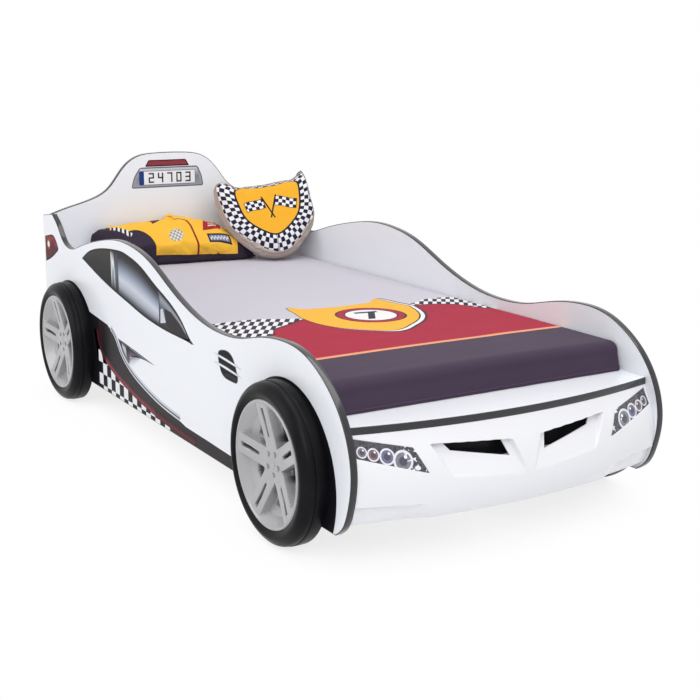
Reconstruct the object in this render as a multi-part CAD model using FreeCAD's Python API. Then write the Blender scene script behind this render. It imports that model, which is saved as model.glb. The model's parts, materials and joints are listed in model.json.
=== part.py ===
"""A child's race-car bed: board body, moulded bumper, decorative wheels, slatted base and bedding.

Millimetres. +Z is up, the nose of the car looks along -Y, and the driver's left side is +X.
The origin is on the floor, under the middle of the bed's bounding box.
"""
import FreeCAD, Part
import math
import os

V = FreeCAD.Vector

# ---------------------------------------------------------------- driving dimensions
BOARD = 18.0                # all boards are 18 mm lacquered fibreboard
INNER_WIDTH = 910.0         # between the side panels: a 900 mm mattress and its play
NOSE_Y = -1071.0            # foremost point of the bumper
TAIL_Y = 1070.0             # rear edges of the side panels
PANEL_BOTTOM = 89.0         # lower edge of the body boards above the floor
HEADBOARD_Y = 1040.0        # front face of the headboard
HEADBOARD_TOP = 809.0
HOOD_TOP = 344.0            # upper face of the bowed board over the bumper
HOOD_BOW = 58.0             # how far the hood board's middle stands in front of its ends
HOOD_FRONT = -1031.0        # front of the hood board at the middle
FOOT_BOARD_Y = -894.0       # front face of the upright board under the hood board's rear edge

BAND = 2.5                  # thickness of the dark plastic band on the boards' edges

WHEEL_YS = (-729.0, 802.0)  # front and rear axle lines
WHEEL_Z = 201.0
TYRE_RADIUS = 201.5         # half a millimetre of it is the flat on the floor
RIM_RADIUS = 159.0
WHEEL_DEPTH = 60.5          # how far a wheel stands out of the side panel

MATTRESS_BOTTOM = 270.0
MATTRESS_TOP = 415.0
MATTRESS_FRONT = -868.0
MATTRESS_REAR = 1032.0
MATTRESS_HALF = 447.0
CROWN = 3.0                 # rise of the mattress's middle
SHEET = 3.0                 # bedspread with its wadding

SLAT_COUNT = 13
SLAT = (900.0, 70.0, 18.0)
TAPE = 1.5                  # webbing over the slats
RAIL = (25.0, 50.0)         # width and height of the side rails

HALF_INNER = INNER_WIDTH / 2
HALF_OUTER = HALF_INNER + BOARD
SLAT_BOTTOM = MATTRESS_BOTTOM - 0.5 - TAPE - SLAT[2]
SIDES = (("right", -1), ("left", 1))


# ---------------------------------------------------------------- small helpers
def save(name, shape):
    """Write one sub-part and print what it weighs in at."""
    shape.exportStep("parts/" + name + ".step")
    print(f"{name:28s} solids {len(shape.Solids):3d}  volume {shape.Volume / 1000:10.1f} cm3"
          f"  valid {shape.isValid()}")


def box(x0, x1, y0, y1, z0, z1):
    """A block between two corners."""
    return Part.makeBox(x1 - x0, y1 - y0, z1 - z0, V(x0, y0, z0))


def centred_box(x, y, z, size):
    """A block of the given size about a point."""
    return box(x - size[0] / 2, x + size[0] / 2, y - size[1] / 2, y + size[1] / 2,
               z - size[2] / 2, z + size[2] / 2)


def sweep_line(points, tolerance=1.0):
    """A smooth line through points, as a chain of tangent arcs that a router could follow."""
    curve = Part.BSplineCurve()
    curve.interpolate(Points=points)
    return [piece.toShape() for piece in curve.toBiArcs(tolerance)]


def line(a, b):
    """A straight edge."""
    return Part.LineSegment(a, b).toShape()


def arc(a, b, c):
    """A circular edge through three points."""
    return Part.Arc(a, b, c).toShape()


def spaced(wire, count):
    """Evenly spaced points round a closed wire."""
    return wire.discretize(Number=count + 1)[:-1]


def skin(rings):
    """A solid of flat faces through rings of as many points each, closed by a face at both ends."""
    faces = [Part.Face(polygon(rings[0])), Part.Face(polygon(rings[-1]))]
    for low, high in zip(rings, rings[1:]):
        for i in range(len(low)):
            faces.append(Part.Face(polygon([low[i - 1], low[i], high[i], high[i - 1]])))
    shell = Part.makeShell(faces)
    shell.sewShape()
    solid = Part.makeSolid(shell)
    if solid.Volume < 0:
        solid.reverse()
    return solid


def polygon(points):
    """A closed wire of straight edges."""
    return Part.makePolygon(points + [points[0]])


def prism(wire, direction):
    """Extrude the face inside a closed wire."""
    return Part.Face(wire).extrude(direction)


def inset(wire, distance):
    """The same closed wire, drawn in by a distance."""
    inner = wire.makeOffset2D(-distance)
    if inner.BoundBox.DiagonalLength > wire.BoundBox.DiagonalLength:
        inner = wire.makeOffset2D(distance)
    return inner


def edged_board(outline, thickness):
    """A board and the plastic band glued round its edge; thickness is the extrusion vector."""
    core = prism(inset(outline, BAND), thickness)
    return core, prism(outline, thickness).cut(core)


def hexagon(radius, height, foot=V(0, 0, 0)):
    """A hexagonal prism standing on foot, as a bolt head or a nut."""
    corners = [foot + V(radius * math.cos(k * math.pi / 3), radius * math.sin(k * math.pi / 3), 0)
               for k in range(6)]
    return prism(polygon(corners), V(0, 0, height))


def joined(shapes):
    """Several solids that lie apart, as one group."""
    return Part.makeCompound(shapes)


def mirrored(shape):
    """The same piece on the other side of the bed."""
    return shape.mirror(V(0, 0, 0), V(1, 0, 0))


# ---------------------------------------------------------------- body boards
def side_outline():
    """The car's side view: nose, bonnet, low cockpit edge, roof, boot and tail fin."""
    fin_tip = V(0, 974, 616)
    tail_top = V(0, TAIL_Y, 604)
    tail_bottom = V(0, TAIL_Y, PANEL_BOTTOM)
    nose_bottom = V(0, -958, PANEL_BOTTOM)
    over = [fin_tip, V(0, 924, 584), V(0, 872, 537), V(0, 800, 518), V(0, 700, 538),
            V(0, 600, 563), V(0, 464, 589), V(0, 334, 602), V(0, 224, 596), V(0, 114, 575),
            V(0, -36, 519), V(0, -156, 479), V(0, -266, 456), V(0, -366, 449),
            V(0, -476, 456), V(0, -586, 480), V(0, -706, 495), V(0, -806, 486),
            V(0, -890, 450), V(0, -958, 396), V(0, -1004, 328), V(0, -1025, 240),
            V(0, -1013, 166), V(0, -985, 110), nose_bottom]
    return Part.Wire(sweep_line(over) + [line(nose_bottom, tail_bottom),
                                         line(tail_bottom, tail_top), line(tail_top, fin_tip)])


def side_panel(sign):
    """One side board and its edge band."""
    outline = side_outline()
    outline.translate(V(HALF_INNER, 0, 0))
    board, band = edged_board(outline, V(BOARD, 0, 0))
    if sign < 0:
        return mirrored(board), mirrored(band)
    return board, band


def headboard():
    """The rear board, whose top is drawn up like a cab, and the band on its top edge."""
    overrun = 12.0          # the outline runs past the side panels, so that only the top is edged
    wide = HALF_INNER + overrun
    half = [V(-wide, 0, 603), V(-400, 0, 625), V(-300, 0, 654), V(-246, 0, 682),
            V(-205, 0, 729), V(-165, 0, 775), V(-118, 0, 801), V(-60, 0, HEADBOARD_TOP)]
    top = half + [V(-p.x, 0, p.z) for p in reversed(half)]
    low_right, low_left = V(wide, 0, PANEL_BOTTOM), V(-wide, 0, PANEL_BOTTOM)
    outline = Part.Wire(sweep_line(top) + [line(top[-1], low_right), line(low_right, low_left),
                                           line(low_left, top[0])])
    outline.translate(V(0, HEADBOARD_Y, 0))
    board, band = edged_board(outline, V(0, BOARD, 0))
    y0, y1 = HEADBOARD_Y - 1, HEADBOARD_Y + BOARD + 1
    between = box(-HALF_INNER, HALF_INNER, y0, y1, PANEL_BOTTOM + BAND, 900)
    above = box(-HALF_INNER, HALF_INNER, y0, y1, 500, 900)
    return board.common(between), band.common(above)


def bow(x):
    """Where the front edge of the hood board is, at a distance x from the middle."""
    return HOOD_FRONT + HOOD_BOW * (x / HALF_INNER) ** 2


def hood_board():
    """The bowed board over the bumper, and the band on its front edge."""
    overrun = 15.0
    wide = HALF_INNER + overrun
    rear = FOOT_BOARD_Y + BOARD
    z = HOOD_TOP - BOARD
    front = arc(V(-wide, bow(wide), z), V(0, bow(0), z), V(wide, bow(wide), z))
    outline = Part.Wire([front, line(V(wide, bow(wide), z), V(wide, rear + overrun, z)),
                         line(V(wide, rear + overrun, z), V(-wide, rear + overrun, z)),
                         line(V(-wide, rear + overrun, z), V(-wide, bow(wide), z))])
    board, band = edged_board(outline, V(0, 0, BOARD))
    board = board.common(box(-HALF_INNER, HALF_INNER, NOSE_Y, rear, z, HOOD_TOP))
    band = band.common(box(-HALF_INNER, HALF_INNER, NOSE_Y, bow(wide) + 9, z, HOOD_TOP))
    return board, band


def foot_board():
    """The upright board that closes the mattress well at the front."""
    return box(-HALF_INNER, HALF_INNER, FOOT_BOARD_Y, FOOT_BOARD_Y + BOARD, 112, HOOD_TOP - BOARD)


# ---------------------------------------------------------------- moulded bumper
BUMPER_WALL = 3.0
BUMPER_TOP = HOOD_TOP - BOARD
BUMPER_BOTTOM = 117.0
BUMPER_REACH = 40.0         # how far the bumper's fullest line stands in front of the hood board
CREASE_Z = 196.0            # height of that line at the middle
RECESS = 17.0               # depth of the mouth under its upper edge
BUMPER_REAR = -945.0
MOUTH = [(44, 274), (66, 277), (228, 288), (268, 290), (236, 218), (10, 194)]
SLIT = [(66, 276), (224, 287), (208, 268), (52, 238)]
HEADLAMP = [(307, 289), (444, 319), (448, 280), (276, 230)]
LAMP_DEPTH = 2.0
CORNER_IN = 290.0           # outside this the bumper's lower edge steps back
CORNER_Z = 158.0
CORNER_STEP = 12.0


def bumper_block(back=0.0, lean=0.0, side=0.0, drop=0.0):
    """The bumper's outer form as a solid block behind its skin.

    back moves the skin to the rear, lean tilts it in above the crease to form the mouth,
    side and drop draw in its ends and its top and bottom.
    """
    levels = (              # height at the middle, rise at the ends, reach, share of the lean
        (BUMPER_BOTTOM + drop, 0, BUMPER_REACH - 20, 0),
        (150, 6, BUMPER_REACH - 3, 0),
        (CREASE_Z, 24, BUMPER_REACH, 0),
        (258, 16, BUMPER_REACH - 14, 0.8),
        (300, 4, 10, 1.3),
        (BUMPER_TOP - drop, 0, 0, 1.3),
    )
    half = HALF_INNER - side
    sections = []
    for z, rise, reach, share in levels:
        shift = back + lean * share - reach
        front = arc(V(-half, bow(half) + shift, z + rise), V(0, bow(0) + shift, z),
                    V(half, bow(half) + shift, z + rise))
        corners = [V(half, bow(half) + shift, z + rise), V(half, BUMPER_REAR, z + rise),
                   V(-half, BUMPER_REAR, z + rise), V(-half, bow(half) + shift, z + rise)]
        sections.append(Part.Wire([front] + [line(p, q) for p, q in zip(corners, corners[1:])]))
    return Part.makeLoft(sections, True, True)


def front_prism(points, sign, depth=260.0):
    """A prism along Y over an outline drawn in front view."""
    wire = polygon([V(sign * x, -1120, z) for x, z in points])
    return prism(wire, V(0, depth, 0))


def grown(points, by):
    """A convex outline pushed out from its own middle."""
    cx = sum(x for x, _ in points) / len(points)
    cz = sum(z for _, z in points) / len(points)
    return [(x + by * (1 if x > cx else -1), z + by * (1 if z > cz else -1)) for x, z in points]


def bumper_parts():
    """The moulded bumper, its two headlamp lenses and the dark backing behind its slits."""
    wall = BUMPER_WALL
    outer = bumper_block()
    shell = outer.cut(bumper_block(back=wall, side=wall, drop=wall))
    mouth_face = bumper_block(lean=RECESS)
    mouth_back = bumper_block(back=wall, lean=RECESS)
    under = bumper_block(back=CORNER_STEP)
    under_back = bumper_block(back=CORNER_STEP + wall)
    lamp_face = bumper_block(back=LAMP_DEPTH)
    lamp_back = bumper_block(back=LAMP_DEPTH + wall)
    lamps = []
    for side in (-1, 1):
        mouth = front_prism(MOUTH, side)
        shell = shell.fuse(outer.cut(mouth_back).common(front_prism(grown(MOUTH, wall), side)))
        shell = shell.cut(outer.cut(mouth_face).common(mouth)).cut(front_prism(SLIT, side))
        far = HALF_INNER + 9
        step = [(CORNER_IN, CORNER_Z), (far, CORNER_Z + 8), (far, 60), (CORNER_IN - 34, 60)]
        shell = shell.fuse(outer.cut(under_back).common(front_prism(grown(step, wall), side)))
        shell = shell.cut(outer.cut(under).common(front_prism(step, side)))
        lamps.append(outer.cut(lamp_face).common(front_prism(HEADLAMP, side)))
        shell = shell.fuse(outer.cut(lamp_back).common(front_prism(grown(HEADLAMP, wall), side)))
        shell = shell.cut(lamps[-1])
    return shell.removeSplitter(), lamps, grille_backing()


def grille_backing():
    """A bowed dark sheet behind the slits."""
    half, low, high, thick = 258.0, 226.0, 298.0, 2.0
    front = RECESS + BUMPER_WALL + 2
    rear = front + thick
    a, b = V(-half, bow(half) + front, low), V(half, bow(half) + front, low)
    c, d = V(half, bow(half) + rear, low), V(-half, bow(half) + rear, low)
    edges = [arc(a, V(0, bow(0) + front, low), b), line(b, c), arc(c, V(0, bow(0) + rear, low), d), line(d, a)]
    return prism(Part.Wire(edges), V(0, 0, high - low))


# ---------------------------------------------------------------- wheels
TREAD_WIDTH = 31.0
TREAD_STEP = 2.5            # how far the shoulder starts inside the tread
SPOKES = 5
SPOKE_WIDTH = 56.0
SPOKE_SLOT = (62.0, 124.0)  # the slot's ends, from the axis
SPOKE_LEAN = 8.0            # degrees that the first spoke is turned up from level
HUB_RADIUS = 47.0
HUB_FACE = 38.0             # the hub's face above the panel
PAN_FLOOR = 16.0            # the dish's floor at its middle, above the panel
LUG_CIRCLE = 28.0
CAP_RADIUS = 14.0
CAP_HEIGHT = 3.0


def revolved(points):
    """Turn a closed profile of (radius, height) points about the Z axis."""
    return Part.Face(polygon([V(r, 0, z) for r, z in points])).revolve(V(0, 0, 0), V(0, 0, 1), 360)


def tyre():
    """Tyre about the Z axis, its back at z = 0: smooth tread, a step and a full shoulder."""
    r, d = TYRE_RADIUS, WHEEL_DEPTH
    return revolved([(RIM_RADIUS, 0), (r, 0), (r, TREAD_WIDTH), (r - TREAD_STEP, TREAD_WIDTH),
                     (r - 8, 0.85 * d), (r - 24, d), (RIM_RADIUS, d - 5)])


def pentagon(radius, height):
    """The corners of a regular pentagon whose sides face along the spokes, a radius away."""
    corner = radius / math.cos(math.pi / SPOKES)
    return [V(corner * math.cos(a), corner * math.sin(a), height) for a in between_spokes()]


def spoke(angle, lip, lip_height):
    """A double spoke: a bar whose face dips towards the hub, with a deep slot down its middle."""
    half = SPOKE_WIDTH / 2
    side_view = polygon([V(0, -half, 1), V(lip + 2, -half, 1), V(lip + 2, -half, lip_height),
                         V(HUB_RADIUS, -half, HUB_FACE), V(0, -half, HUB_FACE)])
    bar = prism(side_view, V(0, SPOKE_WIDTH, 0))
    bar = bar.cut(box(SPOKE_SLOT[0], SPOKE_SLOT[1], -4.5, 4.5, PAN_FLOOR, WHEEL_DEPTH))
    bar.rotate(V(0, 0, 0), V(0, 0, 1), angle)
    return bar


def between_spokes():
    """Directions half way between the spokes."""
    return [math.radians(SPOKE_LEAN + (i + 0.5) * 360 / SPOKES) for i in range(SPOKES)]


def window(angle):
    """The triangular opening beside the hub, between two spokes."""
    inner, outer, half = 52.0, 84.0, 19.0
    hole = prism(polygon([V(inner, 0, 2), V(outer, -half, 2), V(outer, half, 2)]), V(0, 0, WHEEL_DEPTH))
    hole.rotate(V(0, 0, 0), V(0, 0, 1), math.degrees(angle))
    return hole


def rim():
    """Dished rim with five double spokes about the Z axis, its back at z = 0."""
    lip, face = RIM_RADIUS - 8, WHEEL_DEPTH - 3
    ring = revolved([(RIM_RADIUS, 0), (RIM_RADIUS, face), (lip, face - 3), (lip, 0)])
    funnel = skin([pentagon(HUB_RADIUS - 4, PAN_FLOOR), pentagon(lip + 20, face + 2)])
    dish = Part.makeCylinder(lip, face - 8).cut(funnel).cut(joined([window(a) for a in between_spokes()]))
    spokes = [spoke(SPOKE_LEAN + i * 360 / SPOKES, lip, face - 3) for i in range(SPOKES)]
    body = dish.fuse(spokes).common(Part.makeCylinder(lip, face)).fuse(ring)
    return body.removeSplitter()


def hub_cap():
    """The low round cap in the middle of the hub."""
    return Part.makeCylinder(CAP_RADIUS, CAP_HEIGHT, V(0, 0, HUB_FACE))


def wheel_nuts():
    """Five hexagonal nuts round the hub cap."""
    across, height = 4.8, 4.0
    return joined([hexagon(across, height, V(LUG_CIRCLE * math.cos(a), LUG_CIRCLE * math.sin(a), HUB_FACE))
                   for a in between_spokes()])


def on_panel(shape, wheel_y, sign):
    """Carry a piece made about the Z axis to a wheel's place on a side panel."""
    placed = shape.copy()
    outwards = FreeCAD.Rotation(V(0, 1, 0), V(0, 0, 1), V(1, 0, 0))
    placed.Placement = FreeCAD.Placement(V(HALF_OUTER, wheel_y, WHEEL_Z), outwards).multiply(placed.Placement)
    return mirrored(placed) if sign < 0 else placed


# ---------------------------------------------------------------- slatted base
LEG_SIZE = 45.0
LEG_YS = (-638.0, 966.0)    # centre lines of the corner legs, hidden behind the wheels
BEAM = (44.0, 60.0)
CENTRE_LEG_YS = (-330.0, 420.0)
GLIDE = 4.0
GLIDE_SIZE = 38.0
RAIL_FRONT = FOOT_BOARD_Y + BOARD
RAIL_BOTTOM = SLAT_BOTTOM - RAIL[1]
POST = 30.0
POST_BOTTOM = 115.0


def side_rail():
    """The left rail that carries the slats' ends."""
    return box(HALF_INNER - RAIL[0], HALF_INNER, RAIL_FRONT, HEADBOARD_Y, RAIL_BOTTOM, SLAT_BOTTOM)


def centre_beam():
    """The beam under the middle of the slats, from the foot board to the headboard."""
    return box(-BEAM[0] / 2, BEAM[0] / 2, RAIL_FRONT, HEADBOARD_Y, SLAT_BOTTOM - BEAM[1], SLAT_BOTTOM)


def leg(x, y, top):
    """One square leg down to its glide, with eased foot edges."""
    post = centred_box(x, y, (GLIDE + top) / 2, (LEG_SIZE, LEG_SIZE, top - GLIDE))
    foot_edges = [e for e in post.Edges if abs(e.BoundBox.ZMax - GLIDE) < 0.01]
    return post.makeChamfer(2.0, foot_edges)


def glide(x, y):
    """A square plastic glide nailed under a leg."""
    return centred_box(x, y, GLIDE / 2, (GLIDE_SIZE, GLIDE_SIZE, GLIDE))


def slat_ys():
    """Centre lines of the slats, evenly spread over the mattress's length."""
    first = RAIL_FRONT + 60
    last = HEADBOARD_Y - 60
    return [first + i * (last - first) / (SLAT_COUNT - 1) for i in range(SLAT_COUNT)]


def slat(y):
    """One slat with eased upper edges."""
    length, width, thick = SLAT
    ease = 3.0
    front, rear, top = y - width / 2, y + width / 2, SLAT_BOTTOM + thick
    section = polygon([V(-length / 2, front, SLAT_BOTTOM), V(-length / 2, rear, SLAT_BOTTOM),
                       V(-length / 2, rear, top - ease), V(-length / 2, rear - ease, top),
                       V(-length / 2, front + ease, top), V(-length / 2, front, top - ease)])
    return prism(section, V(length, 0, 0))


def slat_tapes():
    """Two webbing tapes stapled along the slats, which hold their spacing."""
    ys = slat_ys()
    top = SLAT_BOTTOM + SLAT[2]
    return joined([box(x - 15, x + 15, ys[0] - 20, ys[-1] + 20, top, top + TAPE) for x in (-300, 300)])


def corner_post(x_way, y_wall, y_way):
    """A square post glued and screwed into the corner of two boards, under the side rail."""
    x_wall = x_way * HALF_INNER
    xs = sorted((x_wall, x_wall - x_way * POST))
    ys = sorted((y_wall, y_wall + y_way * POST))
    return box(xs[0], xs[1], ys[0], ys[1], POST_BOTTOM, RAIL_BOTTOM)


# ---------------------------------------------------------------- bedding
PILLOW_DEEP, PILLOW_HIGH = 204.0, 160.0
PILLOW_STATIONS = (         # x, share of the full section, and place of its front edge
    (-318, 0.34, 925), (-296, 0.6, 893), (-248, 0.8, 865), (-144, 0.93, 845), (-28, 1.0, 831),
    (60, 0.94, 824), (125, 0.74, 819), (170, 0.5, 823), (200, 0.25, 836))
CUSHION_FOOT = V(298, 744, 422.0)
CUSHION_YAW = 22.7          # degrees that the cushion's face is turned towards the right side
CUSHION_LEAN = 33.0         # degrees that it leans back
CUSHION_ROLL = 9.0          # degrees that it is tipped over to the right in its own plane
CUSHION_HALF_THICK = 46.0


def arched_profile(half, y, bottom, top, crown, rounding):
    """The cross-section of a mattress: flat below, a low arch above and rounded shoulders."""
    r, k = rounding, rounding * (1 - math.sqrt(0.5))
    edges = [line(V(-half, y, bottom), V(half, y, bottom)), line(V(half, y, bottom), V(half, y, top - r)),
             arc(V(half, y, top - r), V(half - k, y, top - k), V(half - r, y, top)),
             arc(V(half - r, y, top), V(0, y, top + crown), V(r - half, y, top)),
             arc(V(r - half, y, top), V(k - half, y, top - k), V(-half, y, top - r)),
             line(V(-half, y, top - r), V(-half, y, bottom))]
    return Part.Wire(edges)


def mattress():
    """A 900 by 1900 mattress with a slightly arched top."""
    profile = arched_profile(MATTRESS_HALF, MATTRESS_FRONT, MATTRESS_BOTTOM, MATTRESS_TOP, CROWN, 22)
    return prism(profile, V(0, MATTRESS_REAR - MATTRESS_FRONT, 0))


def bedspread(core):
    """The bedspread over the mattress: it falls to the hood board and down both sides."""
    half, top, hem = MATTRESS_HALF + SHEET, MATTRESS_TOP + SHEET, HOOD_TOP + 1.0
    front, flare, r = MATTRESS_FRONT - SHEET, 15.0, 26.0
    x = half + 1
    over = prism(arched_profile(half, front - flare, hem, top, CROWN, 22 + SHEET),
                 V(0, MATTRESS_REAR - front + flare, 0))
    k = r * (1 - math.sqrt(0.5))
    crest = top + CROWN
    fall = [V(x, MATTRESS_REAR, hem), V(x, MATTRESS_REAR, crest), V(x, front + r, crest),
            V(x, front + k, crest - k), V(x, front, crest - r), V(x, front - flare, hem)]
    long_view = Part.Wire([line(fall[0], fall[1]), line(fall[1], fall[2]), arc(fall[2], fall[3], fall[4]),
                           line(fall[4], fall[5]), line(fall[5], fall[0])])
    return over.common(prism(long_view, V(-2 * x, 0, 0))).cut(core)


def pillow_section(x, size, front):
    """A wedge-shaped cross-section of the pillow, resting on the bedspread."""
    points = [V(x, front + share * PILLOW_DEEP * size, 424 + rise * PILLOW_HIGH * size) for share, rise in (
        (0.0, 0.0), (0.976, 0.0), (1.0, 0.85), (0.844, 1.0), (0.083, 0.288))]
    full = []
    for i, p in enumerate(points):
        q = points[(i + 1) % len(points)]
        side = q - p
        out = V(0, side.z, -side.y).normalize()
        bulge = (2, 4, 5, 16, 4)[i] * size
        full.append(arc(p, (p + q) * 0.5 + out * bulge, q))
    return spaced(Part.Wire(full), 30)


def pillow():
    """The pillow propped in the angle of mattress and headboard, full in the middle."""
    return skin([pillow_section(*station) for station in PILLOW_STATIONS])


def shield_ring(scale, height):
    """The shield's outline in its own plane: two horns, a hollow top and a rounded foot.

    Local X runs across, local Y up from the foot, and local Z out of the face.
    """
    middle = V(0, 185, 0)
    horn_in, horn_out = V(-149, 329, 0), V(-175, 311, 0)
    side, low, foot = V(-183, 213, 0), V(-119, 84, 0), V(0, 10, 0)

    def at(p, flip=1):
        q = middle + (V(p.x * flip, p.y, 0) - middle) * scale
        return V(q.x, q.y, height)

    edges = [
        arc(at(horn_in), at(V(0, 294, 0)), at(horn_in, -1)),
        arc(at(horn_in, -1), at(V(-169, 326, 0), -1), at(horn_out, -1)),
        arc(at(horn_out, -1), at(V(-186, 263, 0), -1), at(side, -1)),
        arc(at(side, -1), at(V(-163, 141, 0), -1), at(low, -1)),
        arc(at(low, -1), at(V(-65, 33, 0), -1), at(foot)),
        arc(at(foot), at(V(-65, 33, 0)), at(low)),
        arc(at(low), at(V(-163, 141, 0)), at(side)),
        arc(at(side), at(V(-186, 263, 0)), at(horn_out)),
        arc(at(horn_out), at(V(-169, 326, 0)), at(horn_in)),
    ]
    return spaced(Part.Wire(edges), 44)


def cushion():
    """The shield-shaped cushion: crowned faces and a gusset that swells between its seams."""
    t = CUSHION_HALF_THICK
    body = skin([shield_ring(s, h) for s, h in (
        (0.6, -t), (0.86, -t + 4), (0.955, -t + 15), (1.0, 0), (0.955, t - 15), (0.86, t - 4), (0.6, t))])
    face_out = V(-math.sin(math.radians(CUSHION_YAW)), -math.cos(math.radians(CUSHION_YAW)), 0)
    across = V(math.cos(math.radians(CUSHION_YAW)), -math.sin(math.radians(CUSHION_YAW)), 0)
    stand = FreeCAD.Rotation(across, V(0, 0, 1), face_out)
    body.Placement = FreeCAD.Placement(V(0, 0, 0), stand)
    body.rotate(V(0, 0, 0), face_out, CUSHION_ROLL)
    body.rotate(V(0, 0, 0), across, -CUSHION_LEAN)
    low = body.optimalBoundingBox().ZMin
    body.translate(CUSHION_FOOT + V(0, 0, -low))
    return body


# ---------------------------------------------------------------- the whole bed
def main():
    """Make every sub-part and write it."""
    os.makedirs("parts", exist_ok=True)
    for name, sign in SIDES:
        board, band = side_panel(sign)
        save("side_panel_" + name, board)
        save("side_band_" + name, band)
        rail = side_rail()
        save("side_rail_" + name, mirrored(rail) if sign < 0 else rail)

    board, band = headboard()
    save("headboard", board)
    save("headboard_band", band)
    board, band = hood_board()
    save("hood_board", board)
    save("hood_band", band)
    save("foot_board", foot_board())

    shell, lamps, grille = bumper_parts()
    save("bumper", shell)
    save("headlamp_right", lamps[0])
    save("headlamp_left", lamps[1])
    save("grille_backing", grille)

    rubber, alloy, cap, nuts = tyre(), rim(), hub_cap(), wheel_nuts()
    above_floor = box(-700, 700, -1200, 1200, 0, 900)
    caps, all_nuts = [], []
    for end, wheel_y in zip(("front", "rear"), WHEEL_YS):
        tyres, rims = [], []
        for _, sign in SIDES:
            tyres.append(on_panel(rubber, wheel_y, sign).common(above_floor))
            rims.append(on_panel(alloy, wheel_y, sign))
            caps.append(on_panel(cap, wheel_y, sign))
            all_nuts.extend(on_panel(nuts, wheel_y, sign).Solids)
        save("tyres_" + end, joined(tyres))
        save("rims_" + end, joined(rims))
    save("hub_caps", joined(caps))
    save("wheel_nuts", joined(all_nuts))

    save("centre_beam", centre_beam())
    for number, y in enumerate(slat_ys(), 1):
        save(f"slat_{number:02d}", slat(y))
    save("slat_tapes", slat_tapes())
    leg_x = HALF_INNER - LEG_SIZE / 2
    for end, y in zip(("front", "rear"), LEG_YS):
        for name, sign in SIDES:
            save(f"leg_{end}_{name}", leg(sign * leg_x, y, RAIL_BOTTOM))
            save(f"glide_{end}_{name}", glide(sign * leg_x, y))
    for end, y in zip(("front", "rear"), CENTRE_LEG_YS):
        save(f"leg_{end}_centre", leg(0, y, SLAT_BOTTOM - BEAM[1]))
        save(f"glide_{end}_centre", glide(0, y))
    for end, y_wall, y_way in (("front", RAIL_FRONT, 1), ("rear", HEADBOARD_Y, -1)):
        for name, sign in SIDES:
            save(f"corner_post_{end}_{name}", corner_post(sign, y_wall, y_way))

    core = mattress()
    save("mattress", core)
    save("bedspread", bedspread(core))
    save("pillow", pillow())
    save("shield_cushion", cushion())


main()
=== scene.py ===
"""Dresses a child's race-car bed: lacquered boards with printed graphics, bumper, wheels and bedding.

Metres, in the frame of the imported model: +Z is up, the nose of the car looks along -Y and its
left side is +X.
"""
from __future__ import annotations

import json
import logging
import math
from dataclasses import dataclass, field
from enum import Enum
from typing import Callable, Sequence

import bmesh
import bpy
import numpy as np
from mathutils import Matrix, Vector, noise
from mathutils.bvhtree import BVHTree

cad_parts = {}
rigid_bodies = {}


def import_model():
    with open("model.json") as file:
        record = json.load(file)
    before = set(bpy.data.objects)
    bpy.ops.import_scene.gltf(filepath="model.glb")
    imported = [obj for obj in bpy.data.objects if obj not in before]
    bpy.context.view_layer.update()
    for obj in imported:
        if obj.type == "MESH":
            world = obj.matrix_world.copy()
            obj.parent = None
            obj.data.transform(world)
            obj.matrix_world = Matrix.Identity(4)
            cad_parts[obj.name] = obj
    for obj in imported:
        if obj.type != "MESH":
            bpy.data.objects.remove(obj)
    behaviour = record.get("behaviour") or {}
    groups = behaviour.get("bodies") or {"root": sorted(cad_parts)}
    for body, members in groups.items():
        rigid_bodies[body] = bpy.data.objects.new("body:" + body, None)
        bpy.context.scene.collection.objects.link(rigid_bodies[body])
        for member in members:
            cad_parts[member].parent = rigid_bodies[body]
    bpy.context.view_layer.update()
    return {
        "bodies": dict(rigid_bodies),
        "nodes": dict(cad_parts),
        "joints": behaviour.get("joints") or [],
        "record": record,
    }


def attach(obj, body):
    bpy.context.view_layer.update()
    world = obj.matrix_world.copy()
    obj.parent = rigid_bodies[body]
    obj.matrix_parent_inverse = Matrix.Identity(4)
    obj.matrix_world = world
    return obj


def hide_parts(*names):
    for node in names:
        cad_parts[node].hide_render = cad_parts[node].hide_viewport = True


LOG = logging.getLogger("car_bed")

Colour = tuple[float, float, float]
Point = tuple[float, float]
Placer = Callable[[float, float, float], tuple[float, float, float]]

# ------------------------------------------------------------------ sizes shared by the pieces
BOARD = 0.018
BAND = 0.0025
HALF_INNER = 0.455
HALF_OUTER = HALF_INNER + BOARD
PANEL_BOTTOM = 0.089
TAIL_Y = 1.070
HEADBOARD_Y = 1.040
HEADBOARD_TOP = 0.809
HOOD_TOP = 0.344
HOOD_FRONT = -1.031
HOOD_BOW = 0.058
FOOT_BOARD_Y = -0.894
WHEEL_YS = {"front": -0.729, "rear": 0.802}
WHEEL_Z = 0.201


class Side(Enum):
    """The two sides of the car, with the way each faces along X."""

    RIGHT = -1
    LEFT = 1

    @property
    def label(self) -> str:
        """The side's name in lower case."""
        return self.name.lower()


class Ink:
    """Colours of the printed film."""

    BLACK: Colour = (0.005, 0.005, 0.007)
    SOOT: Colour = (0.014, 0.012, 0.014)
    CHARCOAL: Colour = (0.027, 0.022, 0.025)
    SLATE: Colour = (0.105, 0.12, 0.15)
    STEEL: Colour = (0.30, 0.32, 0.36)
    SILVER: Colour = (0.56, 0.58, 0.63)
    WHITE: Colour = (0.78, 0.79, 0.82)
    RED: Colour = (0.25, 0.013, 0.030)
    DARK_RED: Colour = (0.085, 0.006, 0.011)
    BLUE: Colour = (0.02, 0.045, 0.20)
    BROWN: Colour = (0.036, 0.027, 0.022)
    AMBER: Colour = (0.30, 0.07, 0.025)


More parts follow.
